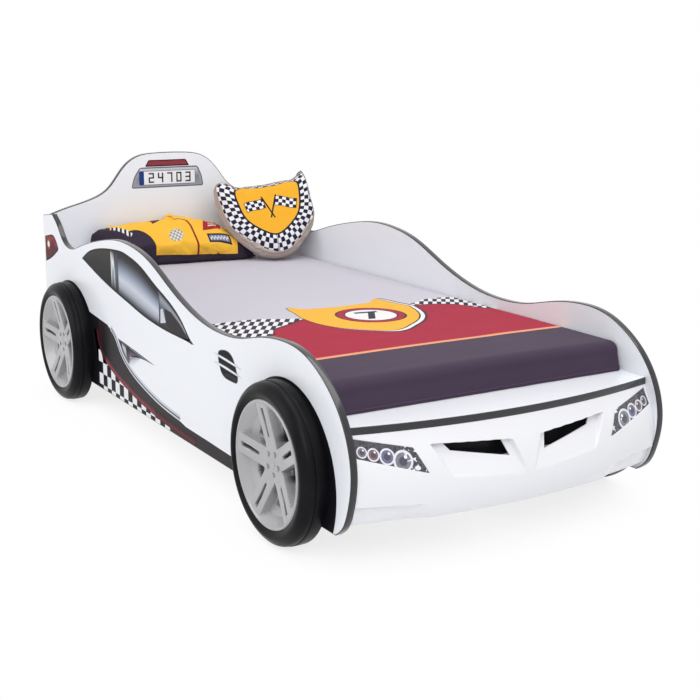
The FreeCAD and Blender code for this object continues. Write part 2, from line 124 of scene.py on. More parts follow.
# ------------------------------------------------------------------ shader expressions
class Wire:
    """The output of a shader node; arithmetic on it adds Math nodes."""

    def __init__(self, recipe: "Recipe", socket: bpy.types.NodeSocket) -> None:
        """Wrap a socket of a recipe's tree."""
        self.recipe = recipe
        self.socket = socket

    def __add__(self, other: "Wire | float") -> "Wire":
        """Sum."""
        return self.recipe.math("ADD", self, other)

    __radd__ = __add__

    def __sub__(self, other: "Wire | float") -> "Wire":
        """Difference."""
        return self.recipe.math("SUBTRACT", self, other)

    def __rsub__(self, other: float) -> "Wire":
        """Reflected difference."""
        return self.recipe.math("SUBTRACT", other, self)

    def __mul__(self, other: "Wire | float") -> "Wire":
        """Product."""
        return self.recipe.math("MULTIPLY", self, other)

    __rmul__ = __mul__

    def __truediv__(self, other: "Wire | float") -> "Wire":
        """Quotient."""
        return self.recipe.math("DIVIDE", self, other)

    def __rtruediv__(self, other: float) -> "Wire":
        """Reflected quotient."""
        return self.recipe.math("DIVIDE", other, self)

    def __gt__(self, other: "Wire | float") -> "Wire":
        """One where this is the greater."""
        return self.recipe.math("GREATER_THAN", self, other)

    def __lt__(self, other: "Wire | float") -> "Wire":
        """One where this is the smaller."""
        return self.recipe.math("LESS_THAN", self, other)

    def __abs__(self) -> "Wire":
        """Size without sign."""
        return self.recipe.math("ABSOLUTE", self)

    def root(self) -> "Wire":
        """Square root."""
        return self.recipe.math("SQRT", self)

    def __and__(self, other: "Wire") -> "Wire":
        """Where both masks are on."""
        return self.recipe.math("MINIMUM", self, other)

    def __or__(self, other: "Wire") -> "Wire":
        """Where either mask is on."""
        return self.recipe.math("MAXIMUM", self, other)

    def between(self, low: "Wire | float", high: "Wire | float") -> "Wire":
        """One from low to high."""
        return (self > low) & (self < high)

    def parity(self, size: float) -> "Wire":
        """Zero and one in turn, in steps of a size."""
        step = self.recipe.math("FLOOR", self / size)
        return self.recipe.math("FLOORED_MODULO", step, 2.0)

    def curve(self, low: float, high: float, points: Sequence[Point]) -> "Wire":
        """A smooth curve through points, read at this value.

        Args:
            low: value at the curve's left end.
            high: value at its right end.
            points: (value, result) pairs, results from 0 to 1.

        Returns:
            The curve's result.
        """
        share = (self - low) / (high - low)
        stops = [((x - low) / (high - low), y) for x, y in points]
        return self.recipe.node("FloatCurve", {"curve": stops}, {"Value": share})


class Recipe:
    """A material or surround being written: its node tree and the ways to add to it."""

    def __init__(self, name: str, surround: bpy.types.World | None = None) -> None:
        """Start an empty material, or empty the surround that is given."""
        self.material = surround or bpy.data.materials.new(name)
        self.material.use_nodes = True
        self.tree = self.material.node_tree
        self.tree.nodes.clear()

    def node(self, kind: str, settings: dict | None = None, inputs: dict | None = None,
             output: int | str = 0) -> Wire:
        """Add one node.

        Args:
            kind: the node's type without its ShaderNode prefix.
            settings: its properties; "curve" fills a float curve.
            inputs: socket name or number to a number, tuple or Wire.
            output: the output that is wanted.

        Returns:
            That output.
        """
        made = self.tree.nodes.new("ShaderNode" + kind)
        for key, value in (settings or {}).items():
            if key == "curve":
                self._fill_curve(made.mapping, value)
            else:
                setattr(made, key, value)
        for key, value in (inputs or {}).items():
            socket = made.inputs[key]
            if isinstance(value, Wire):
                self.tree.links.new(value.socket, socket)
            else:
                socket.default_value = value
        return Wire(self, made.outputs[output] if made.outputs else None)

    @staticmethod
    def _fill_curve(mapping: bpy.types.CurveMapping, points: Sequence[Point]) -> None:
        """Set a float curve's points."""
        line = mapping.curves[0].points
        while len(line) < len(points):
            line.new(0.5, 0.5)
        for point, place in zip(line, points):
            point.location = place
        mapping.update()

    def math(self, operation: str, *values: "Wire | float") -> Wire:
        """Add a Math node."""
        return self.node("Math", {"operation": operation}, dict(enumerate(values)))

    def place(self) -> tuple[Wire, Wire, Wire]:
        """The point being shaded, on the bed."""
        return self.split(self.node("TexCoord", output="Object"))

    def cloth_place(self) -> tuple[Wire, Wire]:
        """The point being shaded, on the flat cloth."""
        return self.split(self.node("UVMap", {"uv_map": "cloth"}))[:2]

    def split(self, vector: Wire) -> tuple[Wire, Wire, Wire]:
        """A vector's three parts."""
        apart = self.node("SeparateXYZ", None, {0: vector}).socket.node
        return tuple(Wire(self, socket) for socket in apart.outputs)

    def join(self, x: "Wire | float", y: "Wire | float", z: "Wire | float") -> Wire:
        """A vector from its parts."""
        return self.node("CombineXYZ", None, {0: x, 1: y, 2: z})

    def mix(self, share: "Wire | float", first: "Wire | Colour", second: "Wire | Colour") -> Wire:
        """A colour between two others."""
        first = (*first, 1.0) if isinstance(first, tuple) else first
        second = (*second, 1.0) if isinstance(second, tuple) else second
        return self.node("Mix", {"data_type": "RGBA"}, {0: share, 6: first, 7: second}, output=2)

    def noise(self, scale: float, detail: float = 3.0, vector: Wire | None = None) -> Wire:
        """Fractal noise from 0 to 1 on the bed's own coordinates."""
        where = vector or self.node("TexCoord", output="Object")
        return self.node("TexNoise", None, {"Vector": where, "Scale": scale, "Detail": detail})

    def uneven(self, colour: Colour, scale: float, share: float, dark: float, detail: float = 4.0) -> Wire:
        """A colour that goes towards a darker tone of itself in soft spots.

        Args:
            colour: the colour.
            scale: how close the spots lie.
            share: how much of the darker tone comes in.
            dark: the darker tone, as a share of the colour.
            detail: how fine the spots' edges are.

        Returns:
            The mixed colour.
        """
        return self.mix(self.noise(scale, detail) * share, colour, dimmed(colour, dark))

    def seen(self) -> Wire:
        """One where the camera, a reflection or a clear piece looks."""
        path = self.node("LightPath").socket.node
        rays = [Wire(self, path.outputs[f"Is {kind} Ray"]) for kind in ("Camera", "Glossy", "Transmission")]
        return rays[0] | rays[1] | rays[2]

    def bump(self, height: Wire, depth: float, strength: float = 1.0, under: Wire | None = None) -> Wire:
        """A Bump node's normal.

        Args:
            height: the relief, from 0 to 1.
            depth: how high 1 stands, in metres.
            strength: the share of the relief that is used.
            under: a normal to add the relief to.

        Returns:
            The normal.
        """
        inputs = {"Strength": strength, "Distance": depth, "Height": height}
        if under is not None:
            inputs["Normal"] = under
        return self.node("Bump", None, inputs)

    def finish(self, **inputs: "Wire | float") -> bpy.types.Material:
        """Close the tree with a Principled shader; names use _ for spaces."""
        named = {key.replace("_", " "): value for key, value in inputs.items()}
        self.node("OutputMaterial", None, {"Surface": self.node("BsdfPrincipled", None, named)})
        return self.material


def dimmed(colour: Colour, share: float) -> Colour:
    """A colour at a share of its strength."""
    return tuple(part * share for part in colour)


def woven(across: Wire, along: Wire, thread: float = 0.0011) -> Wire:
    """The relief of a plain weave, from 0 to 1, whose threads lie a spacing apart."""
    weft, warp = (part.recipe.math("SINE", part * (math.pi / thread)) for part in (across, along))
    return weft * warp * 0.5 + 0.5


def checks(across: Wire, along: Wire, size: float, length: float | None = None) -> Wire:
    """A checkerboard mask of squares, or of oblongs where a length is given."""
    return abs(across.parity(size) - along.parity(length or size))


def boxed(u: Wire, v: Wire, u0: float, u1: float, v0: float, v1: float) -> Wire:
    """A rectangle's mask."""
    return u.between(u0, u1) & v.between(v0, v1)


def turned(u: Wire, v: Wire, centre: Point, degrees: float) -> tuple[Wire, Wire]:
    """Coordinates about a centre, turned by an angle."""
    c, s = math.cos(math.radians(degrees)), math.sin(math.radians(degrees))
    du, dv = u - centre[0], v - centre[1]
    return du * c + dv * s, dv * c - du * s


def away_from(u: Wire, v: Wire, centre: Point) -> Wire:
    """Distance from a centre."""
    du, dv = u - centre[0], v - centre[1]
    return (du * du + dv * dv).root()


# ------------------------------------------------------------------ finishes
@dataclass(frozen=True)
class Lacquer:
    """Sprayed lacquer on fibreboard: a faint orange peel and slow changes of tone."""

    colour: Colour = (0.79, 0.805, 0.845)
    shade: Colour = (0.745, 0.765, 0.815)
    roughness: float = 0.34

    def material(self, name: str) -> bpy.types.Material:
        """Write the material."""
        r = Recipe(name)
        tone = r.noise(2.2, 2.0)
        peel = r.noise(260.0, 2.0)
        scuffs = r.noise(30.0, 6.0)
        return r.finish(Base_Color=r.mix(tone * 0.5, self.colour, self.shade),
                        Roughness=scuffs * 0.10 + (self.roughness - 0.05),
                        Coat_Weight=0.35, Coat_Roughness=0.12,
                        Normal=r.bump(peel, 0.00012, 0.35))


@dataclass(frozen=True)
class GlossPlastic:
    """Moulded or extruded plastic: a slight flow mottle and fine wiping marks."""

    colour: Colour
    roughness: float = 0.22
    mottle: float = 0.03
    coat: float = 0.5
    specular: float = 0.5

    def material(self, name: str) -> bpy.types.Material:
        """Write the material."""
        r = Recipe(name)
        flow = r.noise(7.0, 4.0)
        wiping = r.noise(90.0, 5.0)
        return r.finish(Base_Color=r.mix(flow, self.colour, dimmed(self.colour, 1 - 2 * self.mottle)),
                        Roughness=wiping * 0.08 + (self.roughness - 0.04),
                        Specular_IOR_Level=self.specular, Coat_Weight=self.coat, Coat_Roughness=0.08,
                        Normal=r.bump(r.noise(35.0, 2.0), 0.0004, 0.12))


@dataclass(frozen=True)
class Rubber:
    """Black moulded tyre plastic: satin, and dusty in its pores."""

    colour: Colour = (0.003, 0.003, 0.004)
    dust: Colour = (0.013, 0.013, 0.016)
    roughness: float = 0.36

    def material(self, name: str) -> bpy.types.Material:
        """Write the material."""
        r = Recipe(name)
        worn = r.noise(14.0, 6.0)
        grain = r.noise(1100.0, 2.0)
        return r.finish(Base_Color=r.mix(worn * worn, self.colour, self.dust),
                        Roughness=worn * 0.16 + (self.roughness - 0.10),
                        Specular_IOR_Level=0.09,
                        Normal=r.bump(grain, 0.0001, 0.5))


@dataclass(frozen=True)
class SilverPaint:
    """Metallic wheel paint: fine flakes under a clear coat, with painted shade where the rim's windows and
    slots are sunk.
    """

    colour: Colour = (0.40, 0.395, 0.41)
    # painted shade: the near-black that the rim's sunk windows and slots take, as if they were deep holes
    opening: Colour = (0.004, 0.004, 0.006)
    roughness: float = 0.36

    def material(self, name: str) -> bpy.types.Material:
        """Write the material."""
        r = Recipe(name)
        where = r.node("TexCoord", output="Object")
        flakes = r.node("TexVoronoi", None, {"Vector": where, "Scale": 900.0}, output="Color")
        sparkle = r.node("SeparateColor", None, {0: flakes})
        tone = r.noise(9.0, 3.0)
        colour = r.mix(sparkle * 0.22, self.colour, dimmed(self.colour, 0.72))
        # painted shade: near black over the rim's sunk windows and slots, read from the open attribute
        colour = r.mix(r.node("Attribute", {"attribute_name": "open"}, output="Fac"), colour, self.opening)
        return r.finish(Base_Color=colour, Metallic=0.25,
                        Roughness=tone * 0.12 + (self.roughness - 0.06),
                        Coat_Weight=0.4, Coat_Roughness=0.1,
                        Normal=r.bump(sparkle, 0.00004, 0.3))


@dataclass(frozen=True)
class PrintedFilm:
    """Film printed in the inks that the piece's own attribute holds, with fine print dots."""

    roughness: float = 0.34

    def material(self, name: str) -> bpy.types.Material:
        """Write the material."""
        r = Recipe(name)
        ink = r.node("Attribute", {"attribute_name": "ink"}, output="Color")
        return r.finish(Base_Color=r.mix(r.noise(700.0, 1.0) * 0.006, ink, Ink.SILVER),
                        Roughness=r.noise(40.0, 5.0) * 0.1 + (self.roughness - 0.05),
                        Specular_IOR_Level=0.05, Normal=r.bump(r.noise(260.0, 2.0), 0.00012, 0.3))


@dataclass(frozen=True)
class Pine:
    """Planed pine: growth rings along the piece, resin streaks and a few darker pores."""

    early: Colour = (0.66, 0.46, 0.25)
    late: Colour = (0.45, 0.26, 0.11)
    along: str = "x"

    def material(self, name: str) -> bpy.types.Material:
        """Write the material."""
        r = Recipe(name)
        x, y, z = r.place()
        long, wide = (x, y) if self.along == "x" else (y, x)
        stretched = r.join(long * 0.35, wide * 5.0, z * 5.0)
        bend = r.noise(1.6, 3.0, stretched)
        rings = r.math("SINE", bend * 42.0 + wide * 90.0) * 0.5 + 0.5
        pores = r.noise(60.0, 3.0, r.join(long * 0.5, wide * 8.0, z * 8.0))
        colour = r.mix(rings * 0.55 + pores * 0.2, self.early, self.late)
        return r.finish(Base_Color=colour, Roughness=pores * 0.2 + 0.45,
                        Normal=r.bump(pores + rings * 0.4, 0.0004, 0.5))


@dataclass(frozen=True)
class Ticking:
    """Plain woven cloth: two sets of threads, a soft sheen and slubs."""

    colour: Colour
    sheen: float = 0.05

    def material(self, name: str) -> bpy.types.Material:
        """Write the material."""
        r = Recipe(name)
        x, y, z = r.place()
        return r.finish(Base_Color=r.uneven(self.colour, 40.0, 0.6, 0.82, detail=5.0), Roughness=0.85,
                        Sheen_Weight=self.sheen, Sheen_Roughness=0.4,
                        Normal=r.bump(woven(x, y + z), 0.0003, 0.5))


# ------------------------------------------------------------------ curves and meshes
def smooth(points: Sequence[Point], step: float, closed: bool = False) -> np.ndarray:
    """A natural cubic spline through points, spaced by chord length.

    Args:
        points: the points to pass through.
        step: the spacing of the result.
        closed: whether the last point joins the first.

    Returns:
        The sampled points, without a repeated end where it is closed.
    """
    p = np.array(points, float)
    wrap = 3 if closed else 0
    if closed:
        p = np.vstack([p[-wrap:], p, p[:wrap + 1]])
    t = np.concatenate([[0], np.cumsum(np.linalg.norm(np.diff(p, axis=0), axis=1))])
    h = np.diff(t)
    n = len(p)
    matrix = np.eye(n)
    right = np.zeros_like(p)
    for i in range(1, n - 1):
        matrix[i, i - 1:i + 2] = h[i - 1], 2 * (h[i - 1] + h[i]), h[i]
        right[i] = 6 * ((p[i + 1] - p[i]) / h[i] - (p[i] - p[i - 1]) / h[i - 1])
    bend = np.linalg.solve(matrix, right)
    start, end = t[wrap], t[n - 1 - wrap]
    count = max(2, round((end - start) / step))
    out = []
    for s in np.linspace(start, end, count + 1)[:count if closed else count + 1]:
        i = min(max(int(np.searchsorted(t, s, "right")) - 1, 0), n - 2)
        a, b = (t[i + 1] - s) / h[i], (s - t[i]) / h[i]
        out.append(a * p[i] + b * p[i + 1]
                   + ((a ** 3 - a) * bend[i] + (b ** 3 - b) * bend[i + 1]) * h[i] ** 2 / 6)
    return np.array(out)


def drawn_in(loop: np.ndarray, distance: float, closed: bool = True) -> np.ndarray:
    """A line moved to its left by a distance, with mitred corners."""
    if closed:
        before, after = np.roll(loop, 1, 0), np.roll(loop, -1, 0)
    else:
        before = np.vstack([2 * loop[0] - loop[1], loop[:-1]])
        after = np.vstack([loop[1:], 2 * loop[-1] - loop[-2]])

    def left(d: np.ndarray) -> np.ndarray:
        """Directions turned a quarter to the left, one unit long."""
        d = d / np.linalg.norm(d, axis=1, keepdims=True)
        return np.stack([-d[:, 1], d[:, 0]], 1)

    first, second = left(loop - before), left(after - loop)
    middle = first + second
    middle /= np.linalg.norm(middle, axis=1, keepdims=True)
    spread = np.clip(np.sum(middle * first, 1, keepdims=True), 0.4, 1)
    return loop + middle * distance / spread


def counter_clockwise(loop: np.ndarray) -> np.ndarray:
    """The same closed loop, turning left."""
    x, y = loop[:, 0], loop[:, 1]
    area = np.sum(x * np.roll(y, -1) - y * np.roll(x, -1))
    return loop if area > 0 else loop[::-1]


def signed_distance(x: np.ndarray, z: np.ndarray, corners: Sequence[Point]) -> np.ndarray:
    """Distance to a polygon's outline, negative inside it.

    Args:
        x: first coordinates.
        z: second coordinates.
        corners: the polygon.

    Returns:
        One distance per coordinate pair.
    """
    best = np.full(np.broadcast(x, z).shape, np.inf)
    inside = np.zeros(best.shape, bool)
    for (x0, z0), (x1, z1) in zip(corners, [*corners[1:], corners[0]]):
        dx, dz = x1 - x0, z1 - z0
        t = np.clip(((x - x0) * dx + (z - z0) * dz) / (dx * dx + dz * dz), 0, 1)
        best = np.minimum(best, np.hypot(x - x0 - t * dx, z - z0 - t * dz))
        crosses = ((z0 > z) != (z1 > z)) & (x < dx * (z - z0) / (dz if dz else 1e-12) + x0)
        inside ^= crosses
    return np.where(inside, -best, best)


def eased(value: np.ndarray) -> np.ndarray:
    """A smooth step from 0 at 0 to 1 at 1."""
    t = np.clip(value, 0, 1)
    return t * t * (3 - 2 * t)


def linked(name: str, data: bpy.types.ID) -> bpy.types.Object:
    """A new object in the scene, at the origin."""
    made = bpy.data.objects.new(name, data)
    bpy.context.scene.collection.objects.link(made)
    return made


def make_piece(name: str, vertices: Sequence, faces: Sequence[Sequence[int]],
               materials: Sequence[bpy.types.Material],
               soft_edges: float | None = 40.0, outwards: bool = True) -> bpy.types.Object:
    """A mesh object at the origin.

    Args:
        name: the piece's name.
        vertices: places in metres.
        faces: vertex numbers.
        materials: its material slots.
        soft_edges: faces that meet at less than this angle, in degrees, are shaded smooth.
        outwards: whether to turn all faces outwards.

    Returns:
        The object.
    """
    mesh = bpy.data.meshes.new(name)
    mesh.from_pydata([tuple(v) for v in vertices], [], [tuple(int(i) for i in f) for f in faces])
    for material in materials:
        mesh.materials.append(material)
    if outwards:
        work = bmesh.new()
        work.from_mesh(mesh)
        bmesh.ops.recalc_face_normals(work, faces=work.faces)
        work.to_mesh(mesh)
        work.free()
    if soft_edges is not None:
        mesh.shade_smooth()
        mesh.set_sharp_from_angle(angle=math.radians(soft_edges))
    return linked(name, mesh)


def frozen(piece: bpy.types.Object) -> bpy.types.Object:
    """Apply a piece's modifiers to its mesh."""
    bpy.context.view_layer.update()
    graph = bpy.context.evaluated_depsgraph_get()
    mesh = bpy.data.meshes.new_from_object(piece.evaluated_get(graph))
    piece.modifiers.clear()
    piece.data = mesh
    return piece


def strips(rows: int, columns: int, round_rows: bool = False,
           round_columns: bool = False) -> list[tuple[int, int, int, int]]:
    """Faces of a grid whose vertices are numbered row by row."""
    faces = []
    for i in range(rows if round_rows else rows - 1):
        for j in range(columns if round_columns else columns - 1):
            a, b = i * columns, (i + 1) % rows * columns
            k = (j + 1) % columns
            faces.append((a + j, a + k, b + k, b + j))
    return faces


def plate(name: str, loop: np.ndarray, place: Placer, low: float, high: float,
          material: bpy.types.Material) -> bpy.types.Object:
    """A flat plate over an outline.

    Args:
        name: the piece's name.
        loop: the closed outline.
        place: carries (along, up, height) to the bed.
        low: height of its back.
        high: height of its face.
        material: its finish.

    Returns:
        The object.
    """
    n = len(loop)
    vertices = [place(a, b, h) for h in (low, high) for a, b in loop]
    faces = [tuple(range(n)), tuple(range(n, 2 * n)), *strips(2, n, round_columns=True)]
    return make_piece(name, vertices, faces, [material], soft_edges=30.0)


def edge_band(name: str, line: np.ndarray, place: Placer, closed: bool,
              material: bpy.types.Material) -> bpy.types.Object:
    """The plastic band round a board's edge, with rounded arrises.

    Args:
        name: the piece's name.
        line: the board's outline, with the board on its left.
        place: carries (along, up, height) to the bed.
        closed: whether the band goes all round.
        material: its finish.

    Returns:
        The object.
    """
    arris = 0.0012
    corner = arris * (1 - math.sqrt(0.5))
    profile = [(BAND, 0), (arris, 0), (corner, corner), (0, arris), (0, BOARD - arris),
               (corner, BOARD - corner), (arris, BOARD), (BAND, BOARD)]
    loops = [drawn_in(line, inset, closed) for inset, _ in profile]
    vertices = [place(*loop[i], height) for i in range(len(line))
                for loop, (_, height) in zip(loops, profile)]
    faces = strips(len(line), len(profile), round_rows=closed, round_columns=True)
    if not closed:
        last = (len(line) - 1) * len(profile)
        faces += [tuple(range(len(profile))), tuple(range(last, last + len(profile)))]
    return make_piece(name, vertices, faces, [material], soft_edges=50.0)


def keep(piece: bpy.types.Object, body: str, slot: str, *nodes: str) -> bpy.types.Object:
    """Set a finished piece on its body and hide the nodes that it stands for."""
    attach(piece, body)
    if nodes:
        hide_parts(*nodes)
    LOG.info("%s: %d faces on %s", piece.name, len(piece.data.polygons), body)
    return piece


# ------------------------------------------------------------------ repeated small pieces
class Growth:
    """A Geometry Nodes tree that lays copies of a small form on a mesh; its sizes are named inputs."""

    def __init__(self, name: str, sizes: dict[str, float], material: bpy.types.Material) -> None:
        """Start the tree.

        Args:
            name: the tree's name.
            sizes: its named inputs, whole numbers staying whole.
            material: the finish of the result.
        """
        self.name = name
        self.material = material
        self.tree = bpy.data.node_groups.new(name, "GeometryNodeTree")
        for way in ("INPUT", "OUTPUT"):
            self.tree.interface.new_socket("Geometry", in_out=way, socket_type="NodeSocketGeometry")
        self.values = {}
        for key, value in sizes.items():
            kind = "NodeSocketInt" if isinstance(value, int) else "NodeSocketFloat"
            socket = self.tree.interface.new_socket(key, in_out="INPUT", socket_type=kind)
            self.values[socket.identifier] = value
        self.given = self.tree.nodes.new("NodeGroupInput").outputs

    def node(self, kind: str, links: dict[str, bpy.types.NodeSocket], **settings: str) -> bpy.types.Node:
        """Add a node.

        Args:
            kind: its type.
            links: the outputs that go into its inputs.
            settings: its properties.

        Returns:
            The node.
        """
        made = self.tree.nodes.new(kind)
        for key, value in settings.items():
            setattr(made, key, value)
        for key, socket in links.items():
            self.tree.links.new(socket, made.inputs[key])
        return made

    def close(self, copies: bpy.types.Node) -> None:
        """Make the copies real, give them their finish and close the tree."""
        real = self.node("GeometryNodeRealizeInstances", {"Geometry": copies.outputs["Instances"]})
        paint = self.node("GeometryNodeSetMaterial", {"Geometry": real.outputs["Geometry"]})
        paint.inputs["Material"].default_value = self.material
        self.node("NodeGroupOutput", {"Geometry": paint.outputs["Geometry"]})

    def grown(self, piece: bpy.types.Object) -> bpy.types.Object:
        """Run the tree on a piece and keep the result as one plain mesh."""
        modifier = piece.modifiers.new(self.name, "NODES")
        modifier.node_group = self.tree
        for identifier, value in self.values.items():
            modifier[identifier] = value
        return frozen(piece)


class Nuts(Growth):
    """Sets a six-sided nut on every vertex of a mesh, its axis along X."""

    def __init__(self, radius: float, depth: float, material: bpy.types.Material) -> None:
        """Write the tree."""
        sizes = {"Vertices": 6, "Radius": radius, "Depth": depth}
        super().__init__("wheel_nut", sizes, material)
        nut = self.node("GeometryNodeMeshCylinder", {key: self.given[key] for key in sizes})
        copies = self.node("GeometryNodeInstanceOnPoints",
                           {"Points": self.given["Geometry"], "Instance": nut.outputs["Mesh"]})
        copies.inputs["Rotation"].default_value = (0.0, math.pi / 2, 0.0)
        self.close(copies)

    def on(self, name: str, places: Sequence[Sequence[float]]) -> bpy.types.Object:
        """Set the nuts on places."""
        return self.grown(make_piece(name, places, [], [], soft_edges=None, outwards=False))


class Stitching(Growth):
    """Sews a row of stitches along a line."""

    def __init__(self, material: bpy.types.Material, pitch: float = 0.006) -> None:
        """Write the tree: resample the line, and lay a short thread on each point along it."""
        sizes = {"Pitch": pitch, "Thread": pitch * 0.09, "Length": pitch * 0.6}
        super().__init__("stitching", sizes, material)
        line = self.node("GeometryNodeMeshToCurve", {"Mesh": self.given["Geometry"]})
        points = self.node("GeometryNodeCurveToPoints",
                           {"Curve": line.outputs["Curve"], "Length": self.given["Pitch"]}, mode="LENGTH")
        thread = self.node("GeometryNodeMeshCylinder",
                           {"Radius": self.given["Thread"], "Depth": self.given["Length"]})
        thread.inputs["Vertices"].default_value = 6
        self.close(self.node("GeometryNodeInstanceOnPoints",
                             {"Points": points.outputs["Points"], "Rotation": points.outputs["Rotation"],
                              "Instance": thread.outputs["Mesh"]}))

    def along(self, name: str, line: Sequence[Sequence[float]]) -> bpy.types.Object:
        """Sew along an open line."""
        mesh = bpy.data.meshes.new(name)
        mesh.from_pydata([tuple(p) for p in line], [(i, i + 1) for i in range(len(line) - 1)], [])
        return self.grown(linked(name, mesh))


# ------------------------------------------------------------------ printed film
@dataclass
class Film:
    """Flat printed shapes on one face of a board, each with an ink and a layer."""

    name: str
    place: Placer
    thickness: float = 0.00012
    vertices: list[tuple[float, float, float]] = field(default_factory=list)
    faces: list[tuple[int, ...]] = field(default_factory=list)
    inks: list[Colour] = field(default_factory=list)

    def add(self, outline: Sequence[Point], ink: Colour, layer: int = 1) -> None:
        """Print one shape; a higher layer covers a lower one."""
        loop = counter_clockwise(np.array(outline, float))
        n, first = len(loop), len(self.vertices)
        self.vertices += [self.place(a, b, h) for h in (0.0, layer * self.thickness) for a, b in loop]
        for face in (range(n), range(n, 2 * n), *strips(2, n, round_columns=True)):
            self.faces.append(tuple(first + i for i in face))
        self.inks += [ink] * (2 * n)

    def bordered(self, outline: np.ndarray, ink: Colour, edge: Colour, width: float,
                 layer: int = 1) -> np.ndarray:
        """Print a shape with a border and return the outline inside that border."""
        outline = counter_clockwise(np.array(outline, float))
        inner = drawn_in(outline, width)
        self.add(outline, edge, layer)
        self.add(inner, ink, layer + 1)
        return inner

    def blend(self, low: np.ndarray, high: np.ndarray, stops: Sequence[tuple[float, Colour]],
              layer: int) -> None:
        """Print a shape whose ink changes on the way from its low line to its high line.

        Args:
            low: points of the low line.
            high: as many points of the high line.
            stops: (share of the way, ink) pairs.
            layer: its layer.
        """
        rows, n, first = 17, len(low), len(self.vertices)
        places, inks = [share for share, _ in stops], np.array([ink for _, ink in stops])
        for share in np.linspace(0, 1, rows):
            self.vertices += [self.place(a, b, layer * self.thickness) for a, b in low + (high - low) * share]
            self.inks += [tuple(np.interp(share, places, inks[:, c]) for c in range(3))] * n
        edge = [*range(n), *[k * n + n - 1 for k in range(1, rows)],
                *[(rows - 1) * n + i for i in range(n - 2, -1, -1)], *[k * n for k in range(rows - 2, 0, -1)]]
        under, count = rows * n, len(edge)
        outline = [(low + (high - low) * (k // n) / (rows - 1))[k % n] for k in edge]
        self.vertices += [self.place(a, b, 0.0) for a, b in outline]
        self.inks += [self.inks[first + k] for k in edge]
        made = [*strips(rows, n), tuple(range(under, under + count))]
        made += [(edge[k], edge[(k + 1) % count], under + (k + 1) % count, under + k) for k in range(count)]
        self.faces += [tuple(first + i for i in face) for face in made]

    def build(self, material: bpy.types.Material) -> bpy.types.Object:
        """Make the film's mesh and colour it."""
        piece = make_piece(self.name, self.vertices, self.faces, [material], soft_edges=None)
        layer = piece.data.color_attributes.new("ink", "FLOAT_COLOR", "POINT")
        layer.data.foreach_set("color", [part for ink in self.inks for part in (*ink, 1.0)])
        return piece


def box_outline(a0: float, a1: float, b0: float, b1: float) -> list[Point]:
    """A rectangle's corners."""
    return [(a0, b0), (a1, b0), (a1, b1), (a0, b1)]


def rounded(corners: Sequence[Point], radius: float) -> list[Point]:
    """A polygon with each corner replaced by a soft bend."""
    out = []
    for k, corner in enumerate(corners):
        here = Vector(corner)
        before = (Vector(corners[k - 1]) - here).normalized() * radius
        after = (Vector(corners[(k + 1) % len(corners)]) - here).normalized() * radius
        out += [tuple(here + before * (1 - t) ** 2 + after * t ** 2) for t in np.linspace(0, 1, 7)]
    return out


def disc(a: float, b: float, radius: float, count: int = 48) -> list[Point]:
    """A circle's points."""
    return [(a + radius * math.cos(2 * math.pi * k / count), b + radius * math.sin(2 * math.pi * k / count))
            for k in range(count)]


def clipped(loop: Sequence[Point], inside: Callable[[Point], float]) -> list[Point]:
    """The part of a polygon where a straight-edged test is positive."""
    kept = []
    for p, q in zip(loop, [*loop[1:], loop[0]]):
        a, b = inside(p), inside(q)
        if a >= 0:
            kept.append(tuple(p))
        if (a >= 0) != (b >= 0):
            t = a / (a - b)
            kept.append((p[0] + (q[0] - p[0]) * t, p[1] + (q[1] - p[1]) * t))
    return kept


